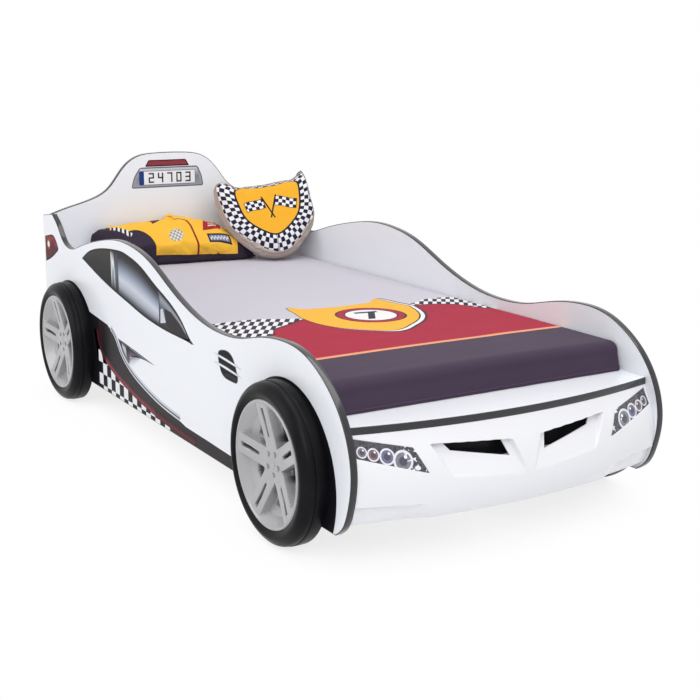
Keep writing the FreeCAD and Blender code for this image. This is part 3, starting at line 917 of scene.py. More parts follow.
# ------------------------------------------------------------------ the boards
@dataclass
class BodyBoards:
    """The car body's boards: two sides, headboard, hood board and foot board."""

    lacquer: bpy.types.Material
    band: bpy.types.Material
    step: float = 0.006

    def side_line(self) -> np.ndarray:
        """The side's outline, from the fin's tip over the roof and the nose, and back under the car."""
        over = smooth([(0.974, 0.616), (0.924, 0.584), (0.872, 0.537), (0.800, 0.518), (0.700, 0.538),
                       (0.600, 0.563), (0.464, 0.589), (0.334, 0.602), (0.224, 0.596), (0.114, 0.575),
                       (-0.036, 0.519), (-0.156, 0.479), (-0.266, 0.456), (-0.366, 0.449),
                       (-0.476, 0.456), (-0.586, 0.480), (-0.706, 0.495), (-0.806, 0.486),
                       (-0.890, 0.450), (-0.958, 0.396), (-1.004, 0.328), (-1.025, 0.240),
                       (-1.013, 0.166), (-0.985, 0.110), (-0.958, PANEL_BOTTOM)], self.step)
        return np.vstack([over, [(TAIL_Y, PANEL_BOTTOM), (TAIL_Y, 0.604)]])

    @staticmethod
    def on_side(side: Side, depth: float) -> Placer:
        """Carries (y, z, height) to a side board, height being counted from a depth."""
        return lambda y, z, height: (side.value * (depth + height), y, z)

    def sides(self) -> None:
        """The two side boards with their bands."""
        line = self.side_line()
        for side in Side:
            place = self.on_side(side, HALF_INNER)
            board = plate(f"side_board_{side.label}", drawn_in(line, BAND), place, 0.0, BOARD, self.lacquer)
            band = edge_band(f"side_edging_{side.label}", line, place, True, self.band)
            keep(board, "bed", "board", f"side_panel_{side.label}")
            keep(band, "bed", "edge_band", f"side_band_{side.label}")

    def headboard(self) -> None:
        """The headboard, its top like a cab's roof."""
        half = [(-0.467, 0.603), (-0.400, 0.625), (-0.300, 0.654), (-0.246, 0.682),
                (-0.205, 0.729), (-0.165, 0.775), (-0.118, 0.801), (-0.060, HEADBOARD_TOP)]
        line = smooth(half + [(-x, z) for x, z in reversed(half)], self.step)[::-1]
        line = line[np.abs(line[:, 0]) < HALF_INNER]
        ends = [(sign * HALF_INNER, np.interp(HALF_INNER, [0.400, 0.467], [0.625, 0.603]))
                for sign in (1, -1)]
        line = np.vstack([ends[0], line, ends[1]])
        core = np.vstack([drawn_in(line, BAND, closed=False),
                          [(-HALF_INNER, PANEL_BOTTOM + BAND), (HALF_INNER, PANEL_BOTTOM + BAND)]])
        core[0, 0], core[len(line) - 1, 0] = HALF_INNER, -HALF_INNER

        def place(x: float, z: float, height: float) -> tuple[float, float, float]:
            """Carry the headboard's outline to the bed."""
            return x, HEADBOARD_Y + height, z

        keep(plate("headboard_board", core, place, 0.0, BOARD, self.lacquer), "bed", "board", "headboard")
        band = edge_band("headboard_edging", line, place, False, self.band)
        keep(band, "bed", "edge_band", "headboard_band")

    def hood(self) -> None:
        """The bowed board over the bumper."""
        xs = np.linspace(-HALF_INNER, HALF_INNER, 121)
        line = np.stack([xs, HOOD_FRONT + HOOD_BOW * (xs / HALF_INNER) ** 2], 1)
        rear = FOOT_BOARD_Y + BOARD
        front = drawn_in(line, BAND, closed=False)
        front[0, 0], front[-1, 0] = -HALF_INNER, HALF_INNER
        core = np.vstack([front, [(HALF_INNER, rear), (-HALF_INNER, rear)]])

        def place(x: float, y: float, height: float) -> tuple[float, float, float]:
            """Carry the hood board's outline to the bed."""
            return x, y, HOOD_TOP - BOARD + height

        keep(plate("hood_panel", core, place, 0.0, BOARD, self.lacquer), "bed", "board", "hood_board")
        keep(edge_band("hood_edging", line, place, False, self.band), "bed", "edge_band", "hood_band")

    def build(self) -> None:
        """Make every board."""
        self.sides()
        self.headboard()
        self.hood()


# ------------------------------------------------------------------ graphics on the sides
@dataclass
class SideGraphics:
    """The printed windows, vents, skirts, checkers, wheel arches and tail lamp of one side."""

    side: Side
    film: bpy.types.Material
    check: float = 0.036
    check_rows: tuple[float, ...] = (0.0915, 0.104, 0.142, 0.180, 0.218)
    check_span: Point = (-0.02, 0.590)
    arch: Point = (0.173, 0.234)

    def __post_init__(self) -> None:
        """Start one film for the whole side."""
        self.sheet = Film(f"side_print_{self.side.label}", BodyBoards.on_side(self.side, HALF_OUTER))

    def window(self) -> None:
        """The long side window: black frame, tinted rear pane and bright front pane."""
        top = smooth([(-0.202, 0.382), (-0.174, 0.396), (-0.136, 0.426), (-0.086, 0.456), (-0.036, 0.477),
                      (0.064, 0.510), (0.164, 0.546), (0.264, 0.566), (0.314, 0.571), (0.364, 0.570),
                      (0.464, 0.562), (0.564, 0.546), (0.614, 0.532), (0.680, 0.501)], 0.012)
        sill = smooth([(0.680, 0.501), (0.628, 0.488), (0.564, 0.472), (0.464, 0.450), (0.364, 0.432),
                       (0.264, 0.416), (0.164, 0.400), (0.064, 0.390), (-0.036, 0.385), (-0.136, 0.384),
                       (-0.202, 0.382)], 0.012)
        self.sheet.bordered(np.vstack([top, sill[1:-1]]), Ink.SLATE, Ink.SOOT, 0.007)
        rise, fall = top[np.argsort(top[:, 0])], sill[np.argsort(sill[:, 0])]

        def pane(y0: float, y1: float, stops: Sequence[tuple[float, Colour]], layer: int) -> None:
            """A part of the glass between the sill and the roof, shaded upwards."""
            ys = np.linspace(y0, y1, 33)
            low = np.interp(ys, fall[:, 0], fall[:, 1]) + 0.006
            high = np.maximum(np.interp(ys, rise[:, 0], rise[:, 1]) - 0.006, low + 0.001)
            self.sheet.blend(np.column_stack([ys, low]), np.column_stack([ys, high]), stops, layer)

        pane(0.400, 0.660, [(0.0, Ink.BLACK), (0.5, Ink.SOOT), (1.0, Ink.BROWN)], 3)
        pane(0.036, 0.400, [(0.0, Ink.SOOT), (0.07, Ink.SLATE), (0.20, (0.38, 0.40, 0.46)),
                            (0.38, (0.55, 0.57, 0.64)), (0.56, (0.30, 0.34, 0.44)), (0.74, Ink.SLATE),
                            (0.88, Ink.CHARCOAL), (1.0, Ink.SOOT)], 3)
        pane(0.350, 0.378, [(0.0, Ink.SOOT), (0.5, Ink.SLATE), (1.0, Ink.CHARCOAL)], 4)
        pane(0.404, 0.412, [(0.0, Ink.SOOT), (0.3, Ink.SILVER), (0.9, Ink.WHITE), (1.0, Ink.SLATE)], 4)
        pane(0.386, 0.402, [(0.0, Ink.SOOT), (0.45, Ink.STEEL), (0.7, Ink.WHITE), (1.0, Ink.CHARCOAL)], 4)
        pane(0.029, 0.036, [(0.0, Ink.CHARCOAL), (1.0, Ink.SLATE)], 4)
        pane(-0.150, 0.029, [(0.0, Ink.CHARCOAL), (0.6, Ink.SLATE), (0.85, Ink.STEEL),
                             (1.0, Ink.CHARCOAL)], 3)
        self.sheet.add([(-0.168, 0.390), (-0.107, 0.425), (-0.051, 0.447), (-0.004, 0.450), (-0.018, 0.403),
                        (-0.047, 0.392)], Ink.CHARCOAL, 5)
        self.sheet.add([(0.008, 0.448), (-0.012, 0.410), (0.010, 0.405), (0.027, 0.402), (0.024, 0.442)],
                       Ink.SILVER, 5)

    def vents(self) -> None:
        """The fender vent: a dark leaf-shaped opening crossed by two pale blades."""
        leaf = smooth([(-0.357, 0.396), (-0.375, 0.405), (-0.402, 0.409), (-0.427, 0.406), (-0.443, 0.397),
                       (-0.455, 0.382), (-0.466, 0.362), (-0.471, 0.344), (-0.466, 0.335), (-0.446, 0.331),
                       (-0.414, 0.331), (-0.387, 0.335), (-0.371, 0.345), (-0.363, 0.358), (-0.356, 0.374)],
                      0.004, closed=True)
        self.sheet.bordered(leaf, Ink.BLACK, Ink.STEEL, 0.0018, 2)
        self.sheet.add([(-0.375, 0.3395), (-0.460, 0.3365), (-0.466, 0.347), (-0.420, 0.350)],
                       Ink.CHARCOAL, 4)
        for drop in (0.0, 0.022):
            line = np.array([(-0.331, 0.3868), (-0.360, 0.3857), (-0.402, 0.3835), (-0.455, 0.3795),
                             (-0.489, 0.3757)]) - (0.0, drop)
            for share, ink, layer in ((1.0, Ink.STEEL, 5), (0.62, Ink.WHITE, 6)):
                half = np.array([[0.0006], [0.0034], [0.0042], [0.0034], [0.0006]]) * share * (0, 1)
                self.sheet.add(np.vstack([line + half, (line - half)[::-1]]), ink, layer)

    def scoop(self) -> None:
        """The arrow-shaped air intake before the rear wheel."""
        upper = np.array([(0.084, 0.264), (0.134, 0.269), (0.180, 0.2735), (0.230, 0.278), (0.270, 0.281),
                          (0.300, 0.2835), (0.330, 0.286), (0.356, 0.2875), (0.376, 0.289)])
        under = np.array([(0.084, 0.2638), (0.150, 0.264), (0.204, 0.262), (0.250, 0.256), (0.276, 0.250),
                          (0.288, 0.224), (0.300, 0.216), (0.338, 0.250), (0.375, 0.288)])
        self.sheet.blend(under, upper, [(0.0, (0.17, 0.14, 0.19)), (0.45, (0.085, 0.068, 0.085)),
                                        (0.8, Ink.SOOT), (1.0, (0.10, 0.09, 0.11))], 2)
        self.sheet.blend(np.array([(0.304, 0.232), (0.318, 0.244), (0.332, 0.257)]),
                         np.array([(0.310, 0.272), (0.326, 0.277), (0.345, 0.281)]),
                         [(0.0, Ink.SLATE), (0.6, Ink.SILVER), (1.0, Ink.STEEL)], 3)
        ys = np.linspace(0.196, 0.284, 12)
        edge = np.interp(ys, [0.196, 0.230, 0.262, 0.284], [0.264, 0.2625, 0.256, 0.240])
        base = np.interp(ys, [0.196, 0.250, 0.284], [0.256, 0.226, 0.2175])
        self.sheet.blend(np.column_stack([ys, base]), np.column_stack([ys, edge]),
                         [(0.0, (0.77, 0.78, 0.81)), (0.5, (0.55, 0.55, 0.60)), (1.0, Ink.SLATE)], 2)
        self.sheet.add([(0.120, 0.2655), (0.276, 0.2790), (0.276, 0.2765), (0.120, 0.2640)], Ink.STEEL, 3)

    def skirt(self) -> None:
        """The dark skirt along the bottom, with its red line, checkers and bright curve."""
        low = PANEL_BOTTOM + BAND
        curve = smooth([(-0.095, 0.1445), (-0.036, 0.148), (0.064, 0.158), (0.164, 0.176), (0.264, 0.202),
                        (0.316, 0.224), (0.364, 0.256), (0.408, 0.296), (0.436, 0.308)], 0.012)
        front = [(-0.470, low), (-0.470, 0.126), (-0.286, 0.130), (-0.136, 0.132)]
        rear = [(0.464, 0.316), (0.628, 0.330), (0.70, 0.330), (0.70, low)]
        self.sheet.add(front + [tuple(p) for p in curve - (0, 0.006)] + rear, Ink.CHARCOAL, 1)
        for inner, outer, ink in ((-0.006, 0.0, Ink.SILVER), (0.004, 0.012, Ink.SILVER),
                                  (0.0, 0.004, Ink.BLACK)):
            self.ribbon(curve, inner, outer, ink, 3)
        red = smooth([(-0.198, 0.097), (-0.124, 0.099), (-0.027, 0.103), (0.033, 0.106), (0.116, 0.114),
                      (0.234, 0.128), (0.290, 0.138), (0.370, 0.154), (0.475, 0.185), (0.523, 0.208),
                      (0.550, 0.238), (0.566, 0.280)], 0.012)
        stops = [(0.0, (0.10, 0.010, 0.018)), (0.22, (0.26, 0.035, 0.055)), (0.45, (0.22, 0.045, 0.06)),
                 (0.72, (0.10, 0.024, 0.034)), (1.0, (0.040, 0.028, 0.033))]
        for front_y, rear_y, tone in ((-0.2, 0.10, 0.45), (0.09, 0.30, 0.8), (0.29, 0.50, 1.0),
                                      (0.49, 0.57, 0.30)):
            part = red[(red[:, 0] > front_y) & (red[:, 0] < rear_y)]
            self.sheet.blend(drawn_in(part, -0.003, closed=False), drawn_in(part, 0.019, closed=False),
                             [(share, dimmed(ink, tone)) for share, ink in stops], 4)
        self.sheet.blend(np.array([(0.640, z) for z in np.linspace(0.200, 0.330, 9)]),
                         np.array([(0.442, z) for z in np.linspace(0.176, 0.3095, 9)]),
                         [(0.0, Ink.BLACK), (0.46, Ink.BLACK), (0.55, (0.035, 0.007, 0.018)),
                          (0.64, Ink.BLACK), (0.84, (0.010, 0.008, 0.010)), (1.0, Ink.CHARCOAL)], 2)
        start = self.check_span[0]
        self.sheet.add([(start, low), *[tuple(p) for p in red[red[:, 0] > start]], (0.60, 0.280),
                        (0.60, low)], Ink.BLACK, 2)
        self.checkers(red)

    def checkers(self, red: np.ndarray) -> None:
        """White squares of the checkered field, cut off where the red line runs."""
        start, end = self.check_span
        columns = int((end - start) / self.check)
        for row, (low, high) in enumerate(zip(self.check_rows, self.check_rows[1:])):
            for column in range(row % 2, columns, 2):
                y0 = start + column * self.check
                square = box_outline(y0, y0 + self.check, low, high)
                middle = y0 + self.check / 2
                top = float(np.interp(middle, red[:, 0], red[:, 1]))
                rise = float(np.interp(y0 + self.check, red[:, 0], red[:, 1])) - top
                cut = clipped(square, lambda p: top + rise * 2 * (p[0] - middle) / self.check - p[1])
                if len(cut) > 2:
                    self.sheet.add(cut, Ink.WHITE, 3)

    def ribbon(self, line: np.ndarray, inner: float, outer: float, ink: Colour, layer: int) -> None:
        """A printed line of a given width beside a curve."""
        first, second = drawn_in(line, inner, closed=False), drawn_in(line, outer, closed=False)
        self.sheet.add(np.vstack([first, second[::-1]]), ink, layer)

    def arches(self) -> None:
        """Black discs behind the wheels, cut off at the board's lower edge."""
        for y in WHEEL_YS.values():
            circle = disc(y, *self.arch, 96)
            self.sheet.add(clipped(circle, lambda p: p[1] - PANEL_BOTTOM - BAND), Ink.BLACK, 5)

    def tail_lamp(self) -> None:
        """The tail lamp at the board's rear edge."""
        lamp = smooth([(0.920, 0.502), (0.940, 0.524), (0.964, 0.540), (1.015, 0.538), (1.060, 0.530)], 0.008)
        under = smooth([(1.062, 0.440), (1.02, 0.452), (0.965, 0.474), (0.925, 0.494)], 0.008)
        inner = self.sheet.bordered(np.vstack([lamp, under]), Ink.DARK_RED, Ink.BLACK, 0.005, 2)
        self.sheet.add(inner[inner[:, 1] > 0.500], Ink.RED, 4)
        self.sheet.add(disc(1.024, 0.505, 0.019), Ink.AMBER, 5)
        self.sheet.add(disc(1.024, 0.505, 0.011), Ink.WHITE, 6)
        self.sheet.add(disc(0.975, 0.512, 0.014), Ink.DARK_RED, 5)

    def build(self) -> bpy.types.Object:
        """Print the side."""
        self.window()
        self.vents()
        self.scoop()
        self.skirt()
        self.arches()
        self.tail_lamp()
        return keep(self.sheet.build(self.film), "bed", "board")


@dataclass
class HeadboardGraphics:
    """The printed number plate and brake light on the headboard."""

    film: bpy.types.Material

    def build(self) -> bpy.types.Object:
        """Print the headboard; the plate carries a plain number."""
        sheet = Film("headboard_print", lambda x, z, height: (x, HEADBOARD_Y - height, z))
        frame = rounded([(-0.151, 0.682), (0.136, 0.682), (0.129, 0.722), (0.113, 0.757), (-0.117, 0.757),
                         (-0.140, 0.722)], 0.010)
        sheet.bordered(frame, Ink.STEEL, Ink.SLATE, 0.004, 1)
        sheet.blend(np.array([(x, 0.687) for x in np.linspace(-0.138, 0.124, 9)]),
                    np.array([(x, 0.752) for x in np.linspace(-0.116, 0.110, 9)]),
                    [(0.0, Ink.STEEL), (0.5, (0.20, 0.22, 0.26)), (1.0, Ink.SILVER)], 3)
        face = rounded(box_outline(-0.120, 0.103, 0.6925, 0.7435), 0.004)
        sheet.bordered(face, Ink.WHITE, Ink.CHARCOAL, 0.0015, 4)
        sheet.add(rounded(box_outline(-0.1185, -0.101, 0.694, 0.742), 0.003), Ink.BLUE, 6)
        lamp = rounded([(-0.096, 0.759), (0.080, 0.759), (0.066, 0.783), (-0.082, 0.783)], 0.006)
        sheet.bordered(lamp, (0.24, 0.045, 0.055), Ink.DARK_RED, 0.004, 2)
        for index, digit in enumerate(("2", "4", "7", "0", "3")):
            self.digit(sheet, digit, -0.083 + index * 0.0365)
        return keep(sheet.build(self.film), "bed", "board")

    @staticmethod
    def digit(sheet: Film, digit: str, x: float) -> None:
        """One number of seven straight strokes."""
        strokes = {"0": "abcdef", "2": "abged", "3": "abgcd", "4": "fgbc", "7": "abc"}
        wide, high, stroke, low = 0.021, 0.036, 0.0052, 0.700
        bars = {"a": (x, x + wide, low + high - stroke, low + high), "d": (x, x + wide, low, low + stroke),
                "g": (x, x + wide, low + (high - stroke) / 2, low + (high + stroke) / 2),
                "f": (x, x + stroke, low + high / 2, low + high), "e": (x, x + stroke, low, low + high / 2),
                "b": (x + wide - stroke, x + wide, low + high / 2, low + high),
                "c": (x + wide - stroke, x + wide, low, low + high / 2)}
        for name in strokes[digit]:
            sheet.add(box_outline(*bars[name]), Ink.CHARCOAL, 7)


# ------------------------------------------------------------------ the bumper
@dataclass
class Bumper:
    """The moulded bumper: a bowed skin with two mouths, slits, lamp seats and a stepped lower edge."""

    white: bpy.types.Material
    wall: float = 0.003
    flange: float = 0.034
    pitch: float = 0.0022
    recess: float = 0.017
    mouth: tuple[Point, ...] = ((0.044, 0.274), (0.066, 0.277), (0.228, 0.288), (0.260, 0.290),
                                (0.216, 0.216), (0.010, 0.194))
    slit: tuple[Point, ...] = ((0.066, 0.276), (0.224, 0.287), (0.208, 0.268), (0.052, 0.238))
    lamp: tuple[Point, ...] = ((0.307, 0.289), (0.444, 0.319), (0.448, 0.280), (0.276, 0.230))
    step: tuple[Point, ...] = ((0.250, 0.155), (0.464, 0.166), (0.464, 0.060), (0.230, 0.060))
    # height at the middle, rise at the ends, reach in front of the hood board
    levels: tuple[tuple[float, float, float], ...] = (
        (0.117, 0.0, 0.020), (0.150, 0.006, 0.037), (0.196, 0.024, 0.040), (0.258, 0.016, 0.026),
        (0.300, 0.004, 0.010), (0.326, 0.0, 0.0))

    def __post_init__(self) -> None:
        """Refine the levels to a smooth profile."""
        knots = np.array(self.levels)
        share = np.arange(len(knots), dtype=float)
        self.fine = np.linspace(0, len(knots) - 1, 161)
        columns = []
        for column in knots.T:
            curve = smooth(list(zip(share, column)), 0.02)
            columns.append(np.interp(self.fine, curve[:, 0], curve[:, 1]))
        self.heights, self.rises, self.reaches = columns

    def height(self, x: np.ndarray, share: np.ndarray) -> np.ndarray:
        """Height of a level line at a distance from the middle."""
        middle = np.interp(share, self.fine, self.heights)
        rise = np.interp(share, self.fine, self.rises)
        return middle + rise * (x / HALF_INNER) ** 2

    def skin(self, x: np.ndarray, share: np.ndarray) -> np.ndarray:
        """How far forward the plain skin is, as a Y coordinate."""
        bow = HOOD_FRONT + HOOD_BOW * (x / HALF_INNER) ** 2
        return bow - np.interp(share, self.fine, self.reaches)

    def share_at(self, x: np.ndarray, z: np.ndarray) -> np.ndarray:
        """The profile parameter of a point given in front view."""
        out = np.zeros(np.broadcast(x, z).shape)
        for _ in range(12):
            out = np.interp(z - np.interp(out, self.fine, self.rises) * (x / HALF_INNER) ** 2,
                            self.heights, self.fine)
        return out

    def surface(self, x: np.ndarray, z: np.ndarray) -> np.ndarray:
        """The skin's Y with its recesses, at a point given in front view."""
        share = self.share_at(x, z)
        y = self.skin(x, share)
        side = np.abs(x)
        lean = np.interp(share, [2, 3, 4, 5], [0, 0.8, 1.3, 1.3])
        y = y + self.recess * lean * eased(0.5 - signed_distance(side, z, self.mouth) / 0.004)
        inward = eased((side - 0.250 - 0.35 * (z - 0.09)) / 0.045)
        y = y + 0.012 * inward * eased(0.5 - signed_distance(side, z, self.step) / 0.003)
        return y + 0.002 * eased(0.5 - signed_distance(side, z, self.lamp) / 0.0016)

    def shell(self) -> bpy.types.Object:
        """The bumper's shell with its slits cut out and its edges folded back."""
        half = HALF_INNER - 0.0006
        columns = 2 * round(half / self.pitch) + 1
        rows = 96
        xs = np.linspace(-half, half, columns)
        shares = np.linspace(0, len(self.levels) - 1, rows)
        x, share = np.meshgrid(xs, shares)
        z = self.height(x, share)
        y = self.surface(x, z)
        fold_low = np.stack([x[0], y[0] + self.flange, z[0] + 0.001], 1)
        fold_high = np.stack([x[-1], y[-1] + self.flange, z[-1] - 0.0005], 1)
        vertices = np.concatenate([fold_low[None], np.stack([x, y, z], 2), fold_high[None]]).reshape(-1, 3)
        piece = make_piece("bumper_skin", vertices, strips(rows + 2, columns), [self.white],
                           soft_edges=35.0, outwards=False)
        if piece.data.polygons[len(piece.data.polygons) // 2].normal.y > 0:
            piece.data.flip_normals()
        thick = piece.modifiers.new("wall", "SOLIDIFY")
        thick.thickness = self.wall
        thick.offset = -1.0
        frozen(piece)
        for sign in (-1, 1):
            cutter = plate("slit_cutter", np.array([(sign * a, b) for a, b in self.slit]),
                           lambda a, b, h: (a, h, b), -1.10, -0.90, self.white)
            cut = piece.modifiers.new("slit", "BOOLEAN")
            cut.object = cutter
            cut.operation = "DIFFERENCE"
            cut.solver = "EXACT"
            frozen(piece)
            bpy.data.objects.remove(cutter)
        piece.data.shade_smooth()
        piece.data.set_sharp_from_angle(angle=math.radians(38.0))
        return piece

    def lens(self, side: Side, material: bpy.types.Material) -> bpy.types.Object:
        """A headlamp's lens, flush in its seat."""
        corners = [Vector((side.value * a, b)) for a, b in self.lamp]
        across, up = 60, 24
        front = []
        for j in range(up + 1):
            for i in range(across + 1):
                u, v = i / across, j / up
                top = corners[0].lerp(corners[1], u)
                bottom = corners[3].lerp(corners[2], u)
                front.append(bottom.lerp(top, v))
        x = np.array([p.x for p in front])
        z = np.array([p.y for p in front])
        share = self.share_at(x, z)
        y = self.skin(x, share) + 0.0004
        vertices = np.vstack([np.stack([x, y, z], 1), np.stack([x, y + 0.0014, z], 1)])
        grid = strips(up + 1, across + 1)
        n = len(x)
        rim = [j * (across + 1) for j in range(up + 1)]
        edge = list(range(across + 1)) + [r + across for r in rim[1:]] \
            + [rim[-1] + i for i in range(across - 1, -1, -1)] + rim[-2:0:-1]
        faces = grid + [tuple(i + n for i in f) for f in grid]
        faces += [(a, b, b + n, a + n) for a, b in zip(edge, edge[1:] + edge[:1])]
        return make_piece(f"headlamp_lens_{side.label}", vertices, faces, [material])

    def build(self, lamp: bpy.types.Material) -> None:
        """Make the bumper and its lenses."""
        keep(self.shell(), "bed", "bumper", "bumper")
        for side in Side:
            keep(self.lens(side, lamp), "bed", "lamp", f"headlamp_{side.label}")


@dataclass(frozen=True)
class LampPrint:
    """The printed headlamp: round reflectors in bright rings on a black ground."""

    # distance from the middle, height, radius and tint of each reflector
    bowls: tuple[tuple[float, float, float, Colour], ...] = (
        (0.336, 0.263, 0.024, (0.30, 0.30, 0.36)), (0.372, 0.276, 0.018, (0.22, 0.20, 0.42)),
        (0.403, 0.283, 0.014, (0.32, 0.16, 0.16)), (0.428, 0.290, 0.012, (0.30, 0.22, 0.26)))

    def material(self, name: str) -> bpy.types.Material:
        """Write the material."""
        r = Recipe(name)
        x, _, z = r.place()
        side = abs(x)
        wobble = r.noise(120.0, 4.0)
        colour = r.mix(wobble.parity(0.14) * 0.5, (0.012, 0.012, 0.016), (0.10, 0.10, 0.13))
        for cx, cz, radius, tint in self.bowls:
            away = away_from(side, z, (cx, cz))
            colour = r.mix(away < radius, colour, r.mix(r.noise(260.0, 3.0), tint, (0.03, 0.03, 0.05)))
            colour = r.mix(away.between(radius * 0.78, radius), colour, (0.72, 0.72, 0.80))
            colour = r.mix(away < radius * 0.42, colour, (0.05, 0.04, 0.07))
            glint = away_from(side, z, (cx - radius * 0.3, cz + radius * 0.35)) < radius * 0.16
            colour = r.mix(glint, colour, (0.9, 0.9, 0.95))
        flare = (r.noise(70.0, 2.0) > 0.60) & (side < 0.33)
        colour = r.mix(flare, colour, (0.78, 0.78, 0.84))
        return r.finish(Base_Color=colour, Roughness=wobble * 0.1 + 0.12, Coat_Weight=0.8,
                        Coat_Roughness=0.04)


# ------------------------------------------------------------------ the wheels
@dataclass
class Wheels:
    """Four decorative wheels: a moulded tyre, a dished rim with five double spokes and its nuts."""

    rubber: bpy.types.Material
    silver: bpy.types.Material
    tyre_radius: float = 0.2015
    rim_radius: float = 0.159
    depth: float = 0.0630
    tread: float = 0.032
    spokes: int = 5
    spoke_width: float = 0.056
    lean: float = 8.0
    hub_radius: float = 0.047
    hub_face: float = 0.038
    floor: float = 0.016
    slot: tuple[float, float] = (0.064, 0.138)
    lug_circle: float = 0.028
    lug: float = 0.0048
    lug_height: float = 0.006
    cap_radius: float = 0.014
    # a window between two spokes, out along the wheel's radius and across it
    window: tuple[Point, ...] = ((0.060, -0.013), (0.102, -0.028), (0.110, 0.0), (0.102, 0.028),
                                 (0.060, 0.013))

    @staticmethod
    def spot(side: Side, axle: float, radius: float, angle: float,
             height: float) -> tuple[float, float, float]:
        """A place on a wheel, from its turn about the axle and its height over the panel."""
        along, up = radius * math.cos(angle), radius * math.sin(angle)
        return side.value * (HALF_OUTER + height), axle + along, WHEEL_Z + up

    def tyre(self, name: str, side: Side, y: float) -> bpy.types.Object:
        """Turn the tyre from its section: tread, groove, rounded shoulder and side wall."""
        r, d, t = self.tyre_radius, self.depth, self.tread
        section = smooth([(r - 0.0006, 0.0), (r, 0.010), (r, t - 0.003)], 0.004).tolist()
        section += [(r - 0.0006, t - 0.0012), (r - 0.003, t), (r - 0.0034, t + 0.0015),
                    (r - 0.0016, t + 0.0035)]
        section += smooth([(r - 0.0016, t + 0.0035), (r - 0.0022, 0.042), (r - 0.0062, 0.0505),
                           (r - 0.013, 0.0567), (r - 0.023, d - 0.0006), (r - 0.031, d - 0.0010),
                           (self.rim_radius + 0.004, d - 0.0042)], 0.003).tolist()[1:]
        section += [(self.rim_radius + 0.0012, d - 0.0052), (self.rim_radius, d - 0.007),
                    (self.rim_radius, 0.0)]
        turns = 176
        vertices = []
        for k in range(turns):
            for radius, height in section:
                x, along, z = self.spot(side, y, radius, 2 * math.pi * k / turns, height)
                vertices.append((x, along, max(z, 0.0)))
        faces = strips(turns, len(section), round_rows=True, round_columns=True)
        return make_piece(name, vertices, faces, [self.rubber], soft_edges=32.0)

    def relief(self, y: np.ndarray, z: np.ndarray) -> tuple[np.ndarray, np.ndarray]:
        """Height of the rim's face over the panel, and where painted shade darkens its windows and slots.

        Args:
            y: places along the car from the axle.
            z: heights over the axle.

        Returns:
            The heights and the share of painted shade at each place, from 0 to 1.
        """
        radius = np.hypot(y, z)
        turn = np.arctan2(z, y) - math.radians(self.lean)
        pitch = 2 * math.pi / self.spokes
        off = (turn + pitch / 2) % pitch - pitch / 2
        along, beside = radius * np.cos(off), np.abs(radius * np.sin(off))
        lip = self.rim_radius - 0.008
        face = self.depth - 0.003
        funnel = np.interp(radius, [0.047, 0.100, 0.128, lip], [self.floor, 0.022, 0.034, face - 0.002])
        height = np.clip(funnel, self.floor, face - 0.002)
        half = self.spoke_width / 2
        slope = (face - 0.004 - self.hub_face) / (lip - self.hub_radius)
        rise = self.hub_face + np.clip(along - self.hub_radius, 0, 1) * slope
        crown = 0.0014 * (1 - ((beside - half / 2) / (half / 2)) ** 2)
        on_spoke = eased((half - beside) / 0.0026 + 0.5)
        height = np.maximum(height, height + (rise + crown - height) * on_spoke)
        mid = (self.slot[0] + self.slot[1]) / 2
        reach = (self.slot[1] - self.slot[0]) / 2
        narrow = 0.0030 + 0.0024 * (along - self.slot[0]) / (2 * reach)
        past_end = np.maximum(np.abs(along - mid) - reach + 0.004, 0)
        away = np.hypot(past_end, np.maximum(beside - narrow + 0.002, 0)) - 0.002
        in_slot = eased(0.5 - away / 0.0020)
        height = height - 0.013 * in_slot
        hub = eased((self.hub_radius - radius) / 0.003 + 0.5)
        height = height + (self.hub_face + 0.0012 - height) * hub
        between = turn % pitch - pitch / 2
        window = signed_distance(radius * np.cos(between), radius * np.sin(between), self.window)
        window_sunk_and_shaded = eased(0.5 - window / 0.0034) * eased(1 - on_spoke * 1.2)
        height = height - 0.008 * window_sunk_and_shaded
        seat = np.hypot(radius * np.cos(between) - self.lug_circle, radius * np.sin(between))
        height = height - 0.0022 * eased((0.0068 - seat) / 0.0014 + 0.5) * hub
        # painted shade: the sunk windows and slots are coloured dark as if they were deep holes
        dark = np.maximum(window_sunk_and_shaded, in_slot * (1 - hub))
        ring = eased((radius - lip) / 0.0022 + 0.5)
        height = height + (face - 0.0008 - height) * ring
        edge = eased((radius - self.rim_radius + 0.0028) / 0.0028)
        return height - 0.0030 * edge, dark

    def rim(self, name: str, side: Side, y: float) -> bpy.types.Object:
        """The rim as one relief over a disc, closed at the back."""
        turns, rings = 400, 96
        radii = np.linspace(0.0012, self.rim_radius - 0.0002, rings)
        angles = np.linspace(0, 2 * math.pi, turns, endpoint=False) + math.radians(self.lean)
        radius, angle = np.meshgrid(radii, angles)
        ys, zs = radius * np.cos(angle), radius * np.sin(angle)
        heights, dark = self.relief(ys, zs)
        vertices = np.stack([side.value * (HALF_OUTER + heights), y + ys, WHEEL_Z + zs], 2)
        vertices = vertices.reshape(-1, 3).tolist()
        faces = strips(turns, rings, round_rows=True)
        centre = len(vertices)
        vertices.append(self.spot(side, y, 0.0, 0.0, float(heights[0, 0])))
        faces += [(k * rings, (k + 1) % turns * rings, centre) for k in range(turns)]
        back = len(vertices)
        vertices += [self.spot(side, y, radii[-1], a, 0.0) for a in angles]
        for k in range(turns):
            n = (k + 1) % turns
            faces.append((k * rings + rings - 1, n * rings + rings - 1, back + n, back + k))
        faces.append(tuple(range(back, back + turns)))
        piece = make_piece(name, vertices, faces, [self.silver], soft_edges=28.0)
        # the painted shade of the windows and slots goes to the material as the open attribute
        shade = np.zeros(len(vertices))
        shade[:dark.size] = dark.reshape(-1)
        piece.data.attributes.new("open", "FLOAT", "POINT").data.foreach_set("value", shade)
        return piece

